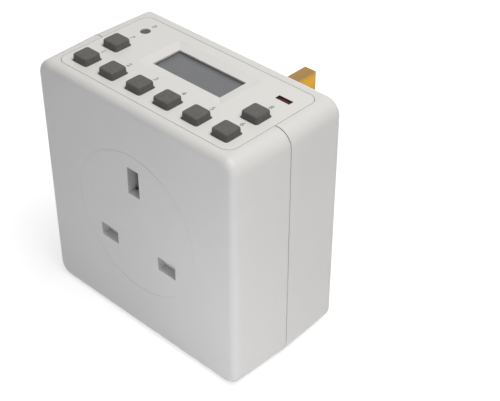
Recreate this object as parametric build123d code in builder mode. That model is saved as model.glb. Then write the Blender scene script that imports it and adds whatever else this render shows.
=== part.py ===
from build123d import *
import os
from math import radians, sin

os.makedirs("parts", exist_ok=True)

# Plug-through digital timer switch: three-pin plug on its back, switched socket on its front,
# keys and display on its top. The socket faces -Y, X runs to the right and Z up.
# The origin is under the middle of its box. All lengths are in millimetres.

# Body: two shells that meet at an upright seam, sides drafted away from it
body_width = 73.6
body_height = 73.0
body_depth = 38.8
front_shell_depth = 19.2
side_draft = 0.8
corner_radius = 4.5
front_edge_radius = 2.2
rear_edge_radius = 1.1
notch_width = 0.7
notch_depth = 0.8
notch_height = 1.3
notch_drop = 4.9
side_wall = 2.2
face_wall = 2.5
seam_gap = 0.3
tongue_thickness = 1.0
tongue_length = 1.8
tongue_clearance = 0.1
run_in = 0.5

# Plug: pins of the British three-pin pattern, on a shallow boss
boss_width = 46.0
boss_height = 47.0
boss_lift = 0.5
boss_depth = 8.3
boss_corner = 8.0
boss_edge_radius = 1.0
pin_spacing = 22.2
earth_rise = 22.2
line_drop = 8.5
earth_pin_width = 4.0
earth_pin_height = 8.0
earth_pin_length = 22.7
line_pin_width = 6.35
line_pin_height = 4.0
line_pin_length = 17.7
pin_tip_radius = 0.6
pin_fit = 0.05
sleeve_length = 9.5
sleeve_root = 1.0
sleeve_thickness = 0.5
sleeve_corner = 0.3
flange_overhang = 1.2
flange_thickness = 1.5
clamp_margin = 4.0
clamp_top_margin = 2.0
clamp_thickness = 2.5
clamp_screw_outset = 2.0
clamp_screw_rise = 2.5
clamp_screw_bite = 1.2
pin_tail = 3.5

# Socket: pin slots, their shutter and the carrier of the contacts
slot_clearance = 0.18
ring_radius = 21.75
ring_lift = 0.4
ring_width = 0.5
ring_depth = 0.08
shutter_thickness = 2.0
shutter_clearance = 0.2
shutter_cover = 1.0
shutter_spare = 0.2
shutter_corner = 1.0
ramp_width = 3.6
ramp_margin = 0.2
ramp_land = 1.5
ramp_foot = 6.0
ramp_clearance = 0.25
spring_length = 11.8
spring_radius = 1.4
spring_wire = 0.4
spring_turns = 7
spigot_radius = 1.0
spigot_length = 1.5
carrier_wall = 1.6
carrier_shoulder = 1.0
carrier_corner = 2.0
carrier_end_gap = 0.6
guide_wall = 1.8
pocket_side = 1.3
pocket_lift = 2.0
contact_thickness = 0.6
contact_grip = 0.05
contact_lead = 1.5
contact_margin = 0.6
earth_contact_trim = 1.0
ear_length = 6.0
ear_root = 2.0
ear_thickness = 2.5
carrier_post_length = 5.0
carrier_post_radius = 2.9

# Control panel: inset plate with square keys, display recess, reset and indicator
panel_side_margin = 5.5
panel_front_margin = 3.35
panel_rear_margin = 3.15
panel_thickness = 1.6
panel_corner = 3.0
panel_gap = 0.15
ledge_width = 1.0
ledge_thickness = 1.4
key_side_margin = 6.0
key_front_margin = 5.25
key_rear_margin = 6.35
keys_per_row = 6
window_side_margin = 19.1
window_front_margin = 16.4
window_rear_margin = 6.2
recess_depth = 0.65
recess_slope = 3.0
hook_wall = 1.0
hook_lip = 0.6
hook_height = 0.9
hook_clearance = 0.1
hook_width = 5.0
small_hook_width = 2.5
pilot_roof = 0.6

# Keys and the mat under them
key_base = 5.6
key_waist = 5.36
key_top = 5.24
key_rise = 2.05
key_flare = 0.3
key_corner = 0.75
key_edge_radius = 0.45
key_clearance = 0.15
key_travel = 1.1
contact_gap = 0.05
plunger_size = 3.2
pill_thickness = 0.4
mat_thickness = 1.0
mat_gap = 0.05
mat_margin = 0.2
web_height = 2.0
web_flare = 0.7
web_wall = 0.55
reset_radius = 1.4
reset_clearance = 0.08
reset_sink = 0.15
reset_travel = 0.5
reset_flange = 0.8
reset_edge_radius = 0.3
reset_switch_size = 4.0
reset_switch_body = 0.9
reset_switch_height = 1.3
led_width = 4.5
led_depth = 1.5
led_clearance = 0.1
led_sink = 0.4
led_flange = 0.5
led_edge_radius = 0.2

# Display stack: the lens is let into the underside of the panel, the rest hangs below it
lens_thickness = 0.5
lens_lap = 1.0
lens_clearance = 0.1
lcd_thickness = 1.9
lcd_side_border = 2.1
lcd_end_border = 1.6
lcd_step = 0.3
lcd_clearance = 0.1
frame_wall = 1.5
frame_corner = 0.8
strip_height = 2.5
strip_width = 1.8
strip_inset = 0.2
strip_end_inset = 1.0

# Boards and what they carry
board_thickness = 1.6
board_clearance = 0.35
board_side_clearance = 0.3
board_corner = 1.0
panel_post_radius = 2.1
panel_post_front = 2.6
panel_post_rear = 2.8
battery_radius = 5.8
battery_clearance = 2.9
battery_inset = 4.5
battery_edge_radius = 0.6
chip_size = 10.0
chip_height = 1.5
chip_offset = 2.0
chip_corner = 0.6
chip_leads = 8
chip_lead_pitch = 1.1
chip_lead_width = 0.4
chip_lead_reach = 1.0
crystal_radius = 1.0
crystal_length = 6.2
crystal_offset = 4.0
crystal_edge_radius = 0.2
power_board_lift = 2.2
power_board_margin = 0.9
power_board_gap = 0.6
power_post_inset = 5.0
power_post_radius = 2.4
power_rest = 4.0
link_width = 6.0
link_thickness = 0.9
link_inset = 0.8
strap_width = 4.0
strap_thickness = 0.8
strap_gap = 0.3
relay_inset = 2.0
relay_length = 28.0
relay_depth = 12.4
relay_base_height = 2.0
relay_wall = 0.8
relay_gap = 0.5
relay_headroom = 0.7
moulding_edge_radius = 0.5
coil_flange = 1.0
coil_radius = 4.2
coil_gap = 1.0
winding_step = 0.5
core_radius = 1.5
pole_radius = 2.4
pole_thickness = 0.4
yoke_gap = 0.6
yoke_thickness = 1.0
hinge_gap = 0.1
armature_gap = 0.8
armature_angle = 4.0
armature_thickness = 1.0
armature_overrun = 1.0
armature_trim = 1.0
blade_thickness = 0.3
blade_width = 4.0
blade_root = 1.5
contact_button = 1.2
contact_button_height = 1.4
contact_inset = 2.2
contact_break = 0.15
dropper_gap = 2.5
dropper_front_gap = 0.7
dropper_height = 12.5
dropper_inset = 1.5
smoothing_radius = 4.0
smoothing_height = 11.5
smoothing_offset = 2.0
smoothing_edge_radius = 0.4
surge_radius = 4.6
surge_thickness = 3.5
surge_lead = 0.4
surge_lead_spread = 2.5
surge_lift = 1.5
surge_offset = 2.0
surge_edge_radius = 0.8
diode_radius = 1.3
diode_screw_gap = 2.7
diode_pitch = 4.0
diode_count = 4
diode_inset = 3.0
diode_offset = 2.0
part_gap = 1.2

# Screws: case, carrier and clamp, boards
case_screw_radius = 1.5
case_screw_length = 18.0
case_screw_head = 2.8
case_screw_head_height = 2.0
case_screw_sink = 12.0
case_post_radius = 4.2
case_post_inset = 6.0
case_post_foot = 6.2
case_post_drop = 13.0
small_screw_radius = 0.95
small_screw_head = 1.9
small_screw_head_height = 1.2
screw_fit = 0.05
screw_clearance = 0.15
screw_end_gap = 0.5
drive_span = 1.3
drive_slot = 0.3
drive_depth = 0.6
panel_screw_grip = 3.0
head_clearance = 0.3

# Depths along Y
total_depth = body_depth + boss_depth + earth_pin_length
front_y = -total_depth / 2
seam_y = front_y + front_shell_depth
rear_y = front_y + body_depth
plug_y = rear_y + boss_depth
front_inside_y = front_y + face_wall
rear_inside_y = rear_y - face_wall
plug_inside_y = plug_y - face_wall
front_seam_y = seam_y - seam_gap / 2
rear_seam_y = seam_y + seam_gap / 2

# Heights of the pins and of the socket's slots
line_height = body_height / 2 - line_drop
earth_height = line_height + earth_rise
boss_rise = body_height / 2 + boss_lift
pin_offset = pin_spacing / 2
ring_height = body_height / 2 + ring_lift

# Control panel, its opening and the stack under it
panel_width = body_width - 2 * panel_side_margin
panel_depth = body_depth - panel_front_margin - panel_rear_margin
panel_front_y = front_y + panel_front_margin
panel_rear_y = panel_front_y + panel_depth
panel_y = (panel_front_y + panel_rear_y) / 2
panel_under = body_height - panel_thickness
top_wall = panel_thickness + ledge_thickness
ledge_under = body_height - top_wall
opening_width = panel_width - 2 * ledge_width
opening_depth = panel_depth - 2 * ledge_width
key_pitch = (panel_width - 2 * key_side_margin) / (keys_per_row - 1)
row_pitch = (panel_depth - key_front_margin - key_rear_margin) / 2
end_key_x = key_pitch * (keys_per_row - 1) / 2
first_row_y = panel_front_y + key_front_margin
second_row_y = first_row_y + row_pitch
third_row_y = second_row_y + row_pitch
window_width = panel_width - 2 * window_side_margin
window_front_y = panel_front_y + window_front_margin
window_rear_y = panel_rear_y - window_rear_margin
window_depth = window_rear_y - window_front_y
window_y = (window_front_y + window_rear_y) / 2
lens_top = panel_under + lens_thickness
lens_width = window_width + 2 * lens_lap
lens_depth = window_depth + 2 * lens_lap
lcd_under = panel_under - lcd_thickness
board_top = lcd_under - strip_height
board_under = board_top - board_thickness
lcd_width = window_width + 2 * lcd_side_border
lcd_depth = window_depth + 2 * lcd_end_border
frame_width = lcd_width + 2 * (lcd_clearance + frame_wall)
frame_depth = lcd_depth + 2 * (lcd_clearance + frame_wall)
key_under = board_top + mat_thickness + web_height
web_half = key_base / 2 + web_flare
board_half = opening_width / 2 - hook_clearance - hook_wall - board_side_clearance
board_front_y = panel_front_y + ledge_width + board_clearance
board_rear_y = panel_rear_y - ledge_width - board_clearance
pad_edge_x = end_key_x - web_half
panel_post_x = (frame_width / 2 + pad_edge_x) / 2

# Socket group
shutter_front_y = front_inside_y + shutter_clearance
shutter_rear_y = shutter_front_y + shutter_thickness
carrier_front_y = shutter_rear_y + shutter_clearance
carrier_rear_y = front_y + earth_pin_length + carrier_end_gap
slot_half_height = line_pin_height / 2 + slot_clearance
slot_half_width = line_pin_width / 2 + slot_clearance
wing_half_height = slot_half_height + shutter_cover
wing_reach = pin_offset + slot_half_width + shutter_cover
shutter_travel = slot_half_height + wing_half_height + shutter_spare
ramp_low = earth_height - earth_pin_height / 2 - slot_clearance - ramp_margin
ramp_high = ramp_low + shutter_travel + ramp_margin
ramp_under = ramp_low - ramp_foot
ramp_rear_y = shutter_rear_y + (ramp_high - ramp_low) + ramp_land
spring_y = (shutter_rear_y + ramp_rear_y) / 2
spring_under = ramp_under - spring_length
line_pocket_width = line_pin_width + 2 * pocket_side
line_pocket_height = line_pin_height + 2 * pocket_lift
earth_pocket_width = earth_pin_width + 2 * pocket_lift
earth_pocket_height = earth_pin_height + 2 * pocket_side
guide_inner = earth_pin_width / 2 + slot_clearance
guide_low = line_height + wing_half_height + shutter_clearance
carrier_half = pin_offset + line_pocket_width / 2 + carrier_wall + carrier_shoulder
carrier_low = line_height - line_pocket_height / 2 - carrier_wall - carrier_shoulder
carrier_high = earth_height + earth_pocket_height / 2 + carrier_wall
ear_front_y = front_inside_y + carrier_post_length
ear_rear_y = ear_front_y + ear_thickness
ear_x = carrier_half + ear_length / 2
ear_height = (line_height + earth_height) / 2
line_contact_rear_y = front_y + line_pin_length + contact_margin + contact_thickness
earth_contact_rear_y = carrier_rear_y
contact_front_y = carrier_front_y + contact_lead

# Plug group
flange_front_y = plug_inside_y - flange_thickness
clamp_front_y = flange_front_y - clamp_thickness
tail_y = clamp_front_y - pin_tail
clamp_screw_x = pin_offset + clamp_screw_outset
clamp_screw_height = (line_height + earth_height) / 2 + clamp_screw_rise

# Power board group
power_under = side_wall + power_board_lift
power_top = power_under + board_thickness
power_half = body_width / 2 - case_post_inset - case_post_radius - power_board_gap
power_front_y = front_inside_y + power_board_margin
power_rear_y = rear_inside_y - power_board_margin
drop_rear_y = power_rear_y - part_gap - strap_thickness / 2
drop_front_y = drop_rear_y - strap_thickness
switched_y = carrier_rear_y + part_gap
relay_height = carrier_low - relay_gap - power_top
relay_top = power_top + relay_height
relay_floor = power_top + relay_base_height
relay_rear_y = drop_front_y - strap_gap
relay_y = relay_rear_y - relay_depth / 2
relay_left_x = -power_half + relay_inset
relay_right_x = relay_left_x + relay_length
case_post_x = body_width / 2 - case_post_inset
case_post_high = body_height - case_post_drop
case_seat_y = rear_y - case_screw_sink
power_post_x = power_half - power_post_inset


def body_half(y):
    """Half width of the body at one depth: widest at the seam."""
    if y < seam_y:
        return body_width / 2 - side_draft * (seam_y - y) / front_shell_depth
    return body_width / 2 - side_draft * (y - seam_y) / (body_depth - front_shell_depth)


def body_span(low_y, high_y, inset=0.0, top_inset=0.0):
    """Stretch of the body between two depths, long edges rounded, drawn in from the sides and the top."""
    low_half = body_half(low_y) - inset
    high_half = body_half(high_y) - inset
    with BuildPart() as span:
        with BuildSketch(Plane.XY.offset(inset)):
            with BuildLine():
                Polyline(
                    (-low_half, low_y), (low_half, low_y), (high_half, high_y), (-high_half, high_y),
                    close=True,
                )
            make_face()
        extrude(amount=body_height - inset - top_inset)
        long_edges = span.edges().filter_by(lambda edge: abs((edge % 0.5).Y) > abs((edge % 0.5).X))
        fillet(long_edges, corner_radius - inset)
    return span.part


def block(x, y, z, mode=Mode.ADD):
    """Box between two values on each axis."""
    with Locations(((x[0] + x[1]) / 2, (y[0] + y[1]) / 2, (z[0] + z[1]) / 2)):
        Box(x[1] - x[0], y[1] - y[0], z[1] - z[0], mode=mode)


def around(middle, size):
    """Low and high value of a span about its middle."""
    return (middle - size / 2, middle + size / 2)


def rod_along_y(points, radius, low_y, high_y, mode=Mode.ADD):
    """Round rods or holes between two depths, at points given as width and height, seams upward."""
    with BuildSketch(Plane.XZ.offset(-high_y)) as outline:
        with Locations(*[Location((x, z, 0), (0, 0, 90)) for x, z in points]):
            Circle(radius)
    extrude(outline.sketch, amount=high_y - low_y, mode=mode)


def rod_along_z(points, radius, low, high, mode=Mode.ADD):
    """Round rods or holes between two heights, at points given as width and depth."""
    with BuildSketch(Plane.XY.offset(low)) as outline:
        with Locations(*points):
            Circle(radius)
    extrude(outline.sketch, amount=high - low, mode=mode)


def pin_holes(clearance, low_y, high_y, mode):
    """The three pin outlines, grown by a clearance, between two depths."""
    with BuildSketch(Plane.XZ.offset(-high_y)) as outline:
        with Locations((0, earth_height)):
            Rectangle(earth_pin_width + 2 * clearance, earth_pin_height + 2 * clearance)
        with Locations((-pin_offset, line_height), (pin_offset, line_height)):
            Rectangle(line_pin_width + 2 * clearance, line_pin_height + 2 * clearance)
    extrude(outline.sketch, amount=high_y - low_y, mode=mode)


def cut_panel_seat():
    """Pocket for the panel's plate and the opening inside the ledge that carries it."""
    with BuildSketch(Plane.XY.offset(panel_under)) as pocket:
        with Locations((0, panel_y)):
            RectangleRounded(
                panel_width + 2 * panel_gap, panel_depth + 2 * panel_gap, panel_corner + panel_gap
            )
    extrude(pocket.sketch, amount=panel_thickness, mode=Mode.SUBTRACT)
    with BuildSketch(Plane.XY.offset(ledge_under - run_in)) as opening:
        with Locations((0, panel_y)):
            RectangleRounded(opening_width, opening_depth, panel_corner - ledge_width)
    extrude(opening.sketch, amount=ledge_thickness + 2 * run_in, mode=Mode.SUBTRACT)


def screws(seats, out, radius, length, head, head_height):
    """Like screws with crossed drives: seats are under the heads, out points away from the shanks."""
    with BuildPart() as group:
        for seat in seats:
            with BuildSketch(Plane(origin=seat, z_dir=out)):
                Circle(radius)
            extrude(amount=-length)
            with BuildSketch(Plane(origin=seat, z_dir=out)):
                Circle(head)
            extrude(amount=head_height)
            with BuildSketch(Plane(origin=seat, z_dir=out).offset(head_height)):
                Rectangle(drive_span * head, drive_slot * head)
                Rectangle(drive_slot * head, drive_span * head)
            extrude(amount=-drive_depth * head_height, mode=Mode.SUBTRACT)
    return group


case_posts = [
    (-case_post_x, case_post_foot),
    (case_post_x, case_post_foot),
    (-case_post_x, case_post_high),
    (case_post_x, case_post_high),
]
ears = [(-ear_x, ear_height), (ear_x, ear_height)]
clamp_posts = [(-clamp_screw_x, clamp_screw_height), (clamp_screw_x, clamp_screw_height)]
panel_posts = [
    (-panel_post_x, window_front_y - panel_post_front - panel_post_radius),
    (panel_post_x, window_front_y - panel_post_front - panel_post_radius),
    (-panel_post_x, board_rear_y - panel_post_rear),
    (panel_post_x, board_rear_y - panel_post_rear),
]
power_posts = [
    (-power_post_x, front_inside_y + power_post_inset),
    (power_post_x, front_inside_y + power_post_inset),
]

# Front shell: face with the three slots, posts for the case screws and for the contact carrier
rebate = side_wall - tongue_thickness - tongue_clearance
rebate_top = top_wall - tongue_thickness - tongue_clearance
front_body = body_span(front_y, front_seam_y)
front_space = body_span(front_inside_y, seam_y, side_wall, top_wall)
front_rebate = body_span(front_seam_y - tongue_length, seam_y, rebate, rebate_top)
with BuildPart() as front_shell:
    add(front_body)
    fillet(front_shell.faces().sort_by(Axis.Y)[0].edges(), front_edge_radius)
    add(front_space, mode=Mode.SUBTRACT)
    add(front_rebate, mode=Mode.SUBTRACT)
    rod_along_y(case_posts, case_post_radius, front_inside_y, front_seam_y)
    rod_along_y(ears, carrier_post_radius, front_inside_y, ear_front_y)
    rod_along_z(power_posts, power_post_radius, side_wall / 2, power_under)
    cut_panel_seat()
    rod_along_z(power_posts, small_screw_radius + screw_fit, side_wall / 2, power_under, Mode.SUBTRACT)
    rod_along_y(
        case_posts, case_screw_radius + screw_fit,
        case_seat_y - case_screw_length - screw_end_gap, front_seam_y, Mode.SUBTRACT,
    )
    rod_along_y(ears, small_screw_radius + screw_fit, front_inside_y - run_in, ear_front_y, Mode.SUBTRACT)
    pin_holes(slot_clearance, front_y, front_inside_y, Mode.SUBTRACT)
    with BuildSketch(Plane.XZ.offset(-front_y)):
        with Locations((0, ring_height)):
            Circle(ring_radius + ring_width / 2)
            Circle(ring_radius - ring_width / 2, mode=Mode.SUBTRACT)
    extrude(amount=-ring_depth, mode=Mode.SUBTRACT)

# Rear shell: plug boss, tongue into the front shell, deep seats for the case screws
rear_body = body_span(rear_seam_y, rear_y)
rear_tongue = body_span(
    seam_y - tongue_length, rear_seam_y, side_wall - tongue_thickness, top_wall - tongue_thickness
)
tongue_space = body_span(seam_y - tongue_length, rear_seam_y, side_wall, top_wall)
rear_space = body_span(rear_seam_y, rear_inside_y, side_wall, top_wall)
with BuildPart() as tongue:
    add(rear_tongue)
    add(tongue_space, mode=Mode.SUBTRACT)
    for post_x, post_z in case_posts:
        block(
            around(post_x, 2 * case_post_inset), (seam_y - tongue_length, rear_seam_y),
            around(post_z, 2 * case_post_inset), Mode.SUBTRACT,
        )
with BuildPart() as rear_shell:
    add(rear_body)
    fillet(rear_shell.faces().sort_by(Axis.Y)[-1].edges(), rear_edge_radius)
    with BuildSketch(Plane.XZ.offset(-plug_y)):
        with Locations((0, boss_rise)):
            RectangleRounded(boss_width, boss_height, boss_corner)
    extrude(amount=boss_depth + rear_edge_radius)
    fillet(rear_shell.faces().sort_by(Axis.Y)[-1].edges(), boss_edge_radius)
    add(tongue.part)
    add(rear_space, mode=Mode.SUBTRACT)
    rod_along_y(case_posts, case_post_radius, rear_seam_y, rear_inside_y)
    with BuildSketch(Plane.XZ.offset(-plug_inside_y)):
        with Locations((0, boss_rise)):
            RectangleRounded(
                boss_width - 2 * side_wall, boss_height - 2 * side_wall, boss_corner - side_wall
            )
    extrude(amount=plug_inside_y - rear_inside_y + run_in, mode=Mode.SUBTRACT)
    rod_along_y(clamp_posts, carrier_post_radius, flange_front_y, plug_inside_y)
    for side in (-1, 1):
        block(
            around(side * power_post_x, power_rest), (power_rear_y - power_rest, rear_inside_y),
            (side_wall / 2, power_under),
        )
    cut_panel_seat()
    rod_along_y(case_posts, case_screw_radius + screw_clearance, rear_seam_y, rear_y, Mode.SUBTRACT)
    rod_along_y(case_posts, case_screw_head + head_clearance, case_seat_y, rear_y, Mode.SUBTRACT)
    notch_high = body_height - notch_drop
    block(
        (body_half(rear_y) - notch_width, body_width / 2), (rear_y - notch_depth, rear_y),
        (notch_high - notch_height, notch_high), Mode.SUBTRACT,
    )
    rod_along_y(
        clamp_posts, small_screw_radius + screw_fit, flange_front_y,
        plug_inside_y + clamp_screw_bite + screw_end_gap, Mode.SUBTRACT,
    )
    pin_holes(pin_fit, plug_inside_y, plug_y, Mode.SUBTRACT)

# Control panel: plate with key holes, mitred display recess, posts and hooks under it
key_points = []
for index in range(keys_per_row):
    key_points.append((index * key_pitch - end_key_x, first_row_y))
key_points.append((-end_key_x, second_row_y))
key_points.append((end_key_x, second_row_y))
reset_point = (-end_key_x, third_row_y)
led_point = (end_key_x, third_row_y)
hook_rows = [(third_row_y, hook_width), ((first_row_y + second_row_y) / 2, small_hook_width)]
with BuildPart() as control_panel:
    with BuildSketch(Plane.XY.offset(panel_under)):
        with Locations((0, panel_y)):
            RectangleRounded(panel_width, panel_depth, panel_corner)
        with Locations(*key_points):
            RectangleRounded(
                key_base + 2 * key_clearance, key_base + 2 * key_clearance, key_corner, mode=Mode.SUBTRACT
            )
        with Locations(reset_point):
            Circle(reset_radius + reset_clearance, mode=Mode.SUBTRACT)
        with Locations(led_point):
            Rectangle(led_width + 2 * led_clearance, led_depth + 2 * led_clearance, mode=Mode.SUBTRACT)
        with Locations((0, window_y)):
            Rectangle(window_width, window_depth, mode=Mode.SUBTRACT)
    extrude(amount=panel_thickness)
    with BuildSketch(Plane.XY.offset(body_height - recess_depth)):
        with Locations((0, window_y)):
            Rectangle(window_width, window_depth)
    with BuildSketch(Plane.XY.offset(body_height)):
        with Locations((0, window_y)):
            Rectangle(window_width + 2 * recess_slope, window_depth + 2 * recess_slope)
    loft(mode=Mode.SUBTRACT)
    block(
        around(0, lens_width + 2 * lens_clearance), around(window_y, lens_depth + 2 * lens_clearance),
        (panel_under, lens_top), Mode.SUBTRACT,
    )
    rod_along_z(panel_posts, panel_post_radius, board_top, panel_under)
    for side in (-1, 1):
        outer = side * (opening_width / 2 - hook_clearance)
        inner = outer - side * hook_wall
        tip = outer + side * hook_lip
        hook_top = ledge_under - hook_clearance
        for row_y, row_width in hook_rows:
            block(sorted((inner, outer)), around(row_y, row_width), (hook_top - hook_height, panel_under))
            block(sorted((inner, tip)), around(row_y, row_width), (hook_top - hook_height, hook_top))
    rod_along_z(
        panel_posts, small_screw_radius + screw_fit, board_top, panel_under - pilot_roof, Mode.SUBTRACT
    )

# Keys: soft square heads with a flared foot, a plunger and a contact pill
key_names = [
    "key_clock", "key_timer", "key_countdown", "key_week",
    "key_hour", "key_minute", "key_random", "key_manual",
]
keys = {}
for key_name, (key_x, key_y) in zip(key_names, key_points):
    with BuildPart() as key:
        with BuildSketch(Plane.XY.offset(key_under)):
            with Locations((key_x, key_y)):
                RectangleRounded(key_base, key_base, key_corner)
        extrude(amount=body_height - key_under)
        with BuildSketch(Plane.XY.offset(body_height)):
            with Locations((key_x, key_y)):
                RectangleRounded(key_base, key_base, key_corner)
        with BuildSketch(Plane.XY.offset(body_height + key_flare)):
            with Locations((key_x, key_y)):
                RectangleRounded(key_waist, key_waist, key_corner)
        loft()
        with BuildSketch(Plane.XY.offset(body_height + key_flare)):
            with Locations((key_x, key_y)):
                RectangleRounded(key_waist, key_waist, key_corner)
        with BuildSketch(Plane.XY.offset(body_height + key_rise)):
            with Locations((key_x, key_y)):
                RectangleRounded(key_top, key_top, key_corner)
        loft()
        fillet(key.faces().sort_by(Axis.Z)[-1].edges(), key_edge_radius)
        plunger_under = board_top + contact_gap + key_travel
        block(
            around(key_x, plunger_size), around(key_y, plunger_size),
            (plunger_under + pill_thickness, key_under),
        )
        rod_along_z([(key_x, key_y)], plunger_size / 2, plunger_under, plunger_under + pill_thickness)
    keys[key_name] = key

# Keypad mat: one soft sheet on the board, with a sloping web up to the foot of each key
with BuildPart() as keypad_mat:
    mat_rear_y = second_row_y + web_half + mat_margin
    strip_rear_y = first_row_y + web_half + mat_margin
    block((-board_half, board_half), (board_front_y, strip_rear_y), (board_top, board_top + mat_thickness))
    for side in (-1, 1):
        block(
            sorted((side * (pad_edge_x - mat_margin), side * board_half)), (strip_rear_y, mat_rear_y),
            (board_top, board_top + mat_thickness),
        )
    for point in key_points:
        for inset, mode in ((0.0, Mode.ADD), (web_wall, Mode.SUBTRACT)):
            with BuildSketch(Plane.XY.offset(board_top + mat_thickness)):
                with Locations(point):
                    RectangleRounded(2 * (web_half - inset), 2 * (web_half - inset), key_corner)
            with BuildSketch(Plane.XY.offset(key_under - mat_gap)):
                with Locations(point):
                    RectangleRounded(key_base - 2 * inset, key_base - 2 * inset, key_corner)
            loft(mode=mode)
        hole = 2 * (web_half - web_wall)
        block(
            around(point[0], hole), around(point[1], hole), (board_top, board_top + mat_thickness),
            Mode.SUBTRACT,
        )

# Reset: round plunger with a retaining flange, over a small switch
reset_switch_top = board_top + reset_switch_height
reset_under = reset_switch_top + reset_travel + contact_gap
with BuildPart() as reset_button:
    rod_along_z([reset_point], reset_radius, reset_under, body_height - reset_sink)
    fillet(reset_button.faces().sort_by(Axis.Z)[-1].edges(), reset_edge_radius)
    rod_along_z(
        [reset_point], reset_radius + reset_flange, panel_under - contact_gap - reset_flange,
        panel_under - contact_gap,
    )

with BuildPart() as reset_switch:
    block(
        around(reset_point[0], reset_switch_size), around(reset_point[1], reset_switch_size),
        (board_top, board_top + reset_switch_body),
    )
    rod_along_z([reset_point], reset_radius, board_top, reset_switch_top)

# Indicator: rectangular lamp standing on the board, its top below the panel's face
with BuildPart() as indicator_led:
    block(
        around(led_point[0], led_width), around(led_point[1], led_depth), (board_top, body_height - led_sink)
    )
    fillet(indicator_led.faces().sort_by(Axis.Z)[-1].edges(), led_edge_radius)
    block(
        around(led_point[0], led_width + 2 * led_flange), around(led_point[1], led_depth + 2 * led_flange),
        (board_top, board_top + led_flange),
    )

# Display: clear lens, liquid crystal glass, its frame and two rubber connector strips
with BuildPart() as display_window:
    block(around(0, lens_width), around(window_y, lens_depth), (panel_under, lens_top))

with BuildPart() as lcd_glass:
    lower_glass = lcd_thickness / 2
    block((-lcd_width / 2, lcd_width / 2), around(window_y, lcd_depth), (lcd_under, lcd_under + lower_glass))
    block(
        (-lcd_width / 2, lcd_width / 2), around(window_y, lcd_depth - 2 * lcd_step),
        (lcd_under + lower_glass, panel_under),
    )

with BuildPart() as lcd_frame:
    block((-frame_width / 2, frame_width / 2), around(window_y, frame_depth), (board_top, panel_under))
    block(
        around(0, lcd_width + 2 * lcd_clearance), around(window_y, lcd_depth + 2 * lcd_clearance),
        (board_top, panel_under), Mode.SUBTRACT,
    )
    fillet(
        lcd_frame.edges().filter_by(Axis.Z).sort_by_distance((0, window_y, board_top))[-4:], frame_corner
    )

with BuildPart() as lcd_connector_strips:
    for side in (-1, 1):
        strip_y = window_y + side * (lcd_depth / 2 - strip_width / 2 - strip_inset)
        block(
            around(0, lcd_width - 2 * strip_end_inset), around(strip_y, strip_width), (board_top, lcd_under)
        )

# Control board, hung on the panel's posts, with its chip, crystal and standby battery
with BuildPart() as control_board:
    block((-board_half, board_half), (board_front_y, board_rear_y), (board_under, board_top))
    fillet(control_board.edges().filter_by(Axis.Z), board_corner)
    rod_along_z(panel_posts, small_screw_radius + screw_clearance, board_under, board_top, Mode.SUBTRACT)

chip_point = (-chip_offset, window_y)
with BuildPart() as controller_chip:
    block(
        around(chip_point[0], chip_size), around(chip_point[1], chip_size),
        (board_under - chip_height, board_under),
    )
    chamfer(controller_chip.edges().filter_by(Axis.Z), chip_corner)
    for row in range(chip_leads):
        lead_y = chip_point[1] + (row - (chip_leads - 1) / 2) * chip_lead_pitch
        block(
            around(chip_point[0], chip_size + 2 * chip_lead_reach), around(lead_y, chip_lead_width),
            (board_under - chip_lead_width, board_under),
        )

with BuildPart() as timing_crystal:
    crystal_centre = board_under - crystal_radius
    with BuildSketch(Plane.XZ.offset(-(window_y + crystal_length / 2))):
        with Locations((chip_point[0] - chip_size / 2 - crystal_offset, crystal_centre)):
            Circle(crystal_radius)
    extrude(amount=crystal_length)
    fillet(timing_crystal.edges(), crystal_edge_radius)

battery_point = (panel_post_x - battery_inset, (panel_posts[1][1] + panel_posts[3][1]) / 2)
with BuildPart() as standby_battery:
    rod_along_z([battery_point], battery_radius, carrier_high + battery_clearance, board_under)
    fillet(standby_battery.edges(), battery_edge_radius)

panel_screws = screws(
    [(x, y, board_under) for x, y in panel_posts], (0, 0, -1),
    small_screw_radius, board_thickness + panel_screw_grip, small_screw_head, small_screw_head_height,
)

# Plug pins: solid brass with a flange behind the plug face, the line pins sleeved at the root
with BuildPart() as earth_pin:
    block(
        around(0, earth_pin_width), (tail_y, plug_y + earth_pin_length),
        around(earth_height, earth_pin_height),
    )
    fillet(earth_pin.faces().sort_by(Axis.Y)[-1].edges(), pin_tip_radius)
    block(
        around(0, earth_pin_width + 2 * flange_overhang), (flange_front_y, plug_inside_y),
        around(earth_height, earth_pin_height + 2 * flange_overhang),
    )

line_pins = {}
line_sleeves = {}
tip_y = plug_y + line_pin_length
sleeve_span = (plug_y - sleeve_root, plug_y + sleeve_length)
pin_high = around(line_height, line_pin_height)
bore_high = around(line_height, line_pin_height - 2 * sleeve_thickness)
for pin_name, pin_x in (("neutral", -pin_offset), ("live", pin_offset)):
    pin_wide = around(pin_x, line_pin_width)
    bore_wide = around(pin_x, line_pin_width - 2 * sleeve_thickness)
    with BuildPart() as pin:
        block(pin_wide, (sleeve_span[1], tip_y), pin_high)
        fillet(pin.faces().sort_by(Axis.Y)[-1].edges(), pin_tip_radius)
        block(bore_wide, sleeve_span, bore_high)
        block(pin_wide, (tail_y, sleeve_span[0]), pin_high)
        block(
            around(pin_x, line_pin_width + 2 * flange_overhang), (flange_front_y, plug_inside_y),
            around(line_height, line_pin_height + 2 * flange_overhang),
        )
    with BuildPart() as sleeve:
        block(pin_wide, sleeve_span, pin_high)
        fillet(sleeve.edges().filter_by(Axis.Y), sleeve_corner)
        block(bore_wide, sleeve_span, bore_high, Mode.SUBTRACT)
    line_pins[pin_name] = pin
    line_sleeves[pin_name] = sleeve

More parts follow.
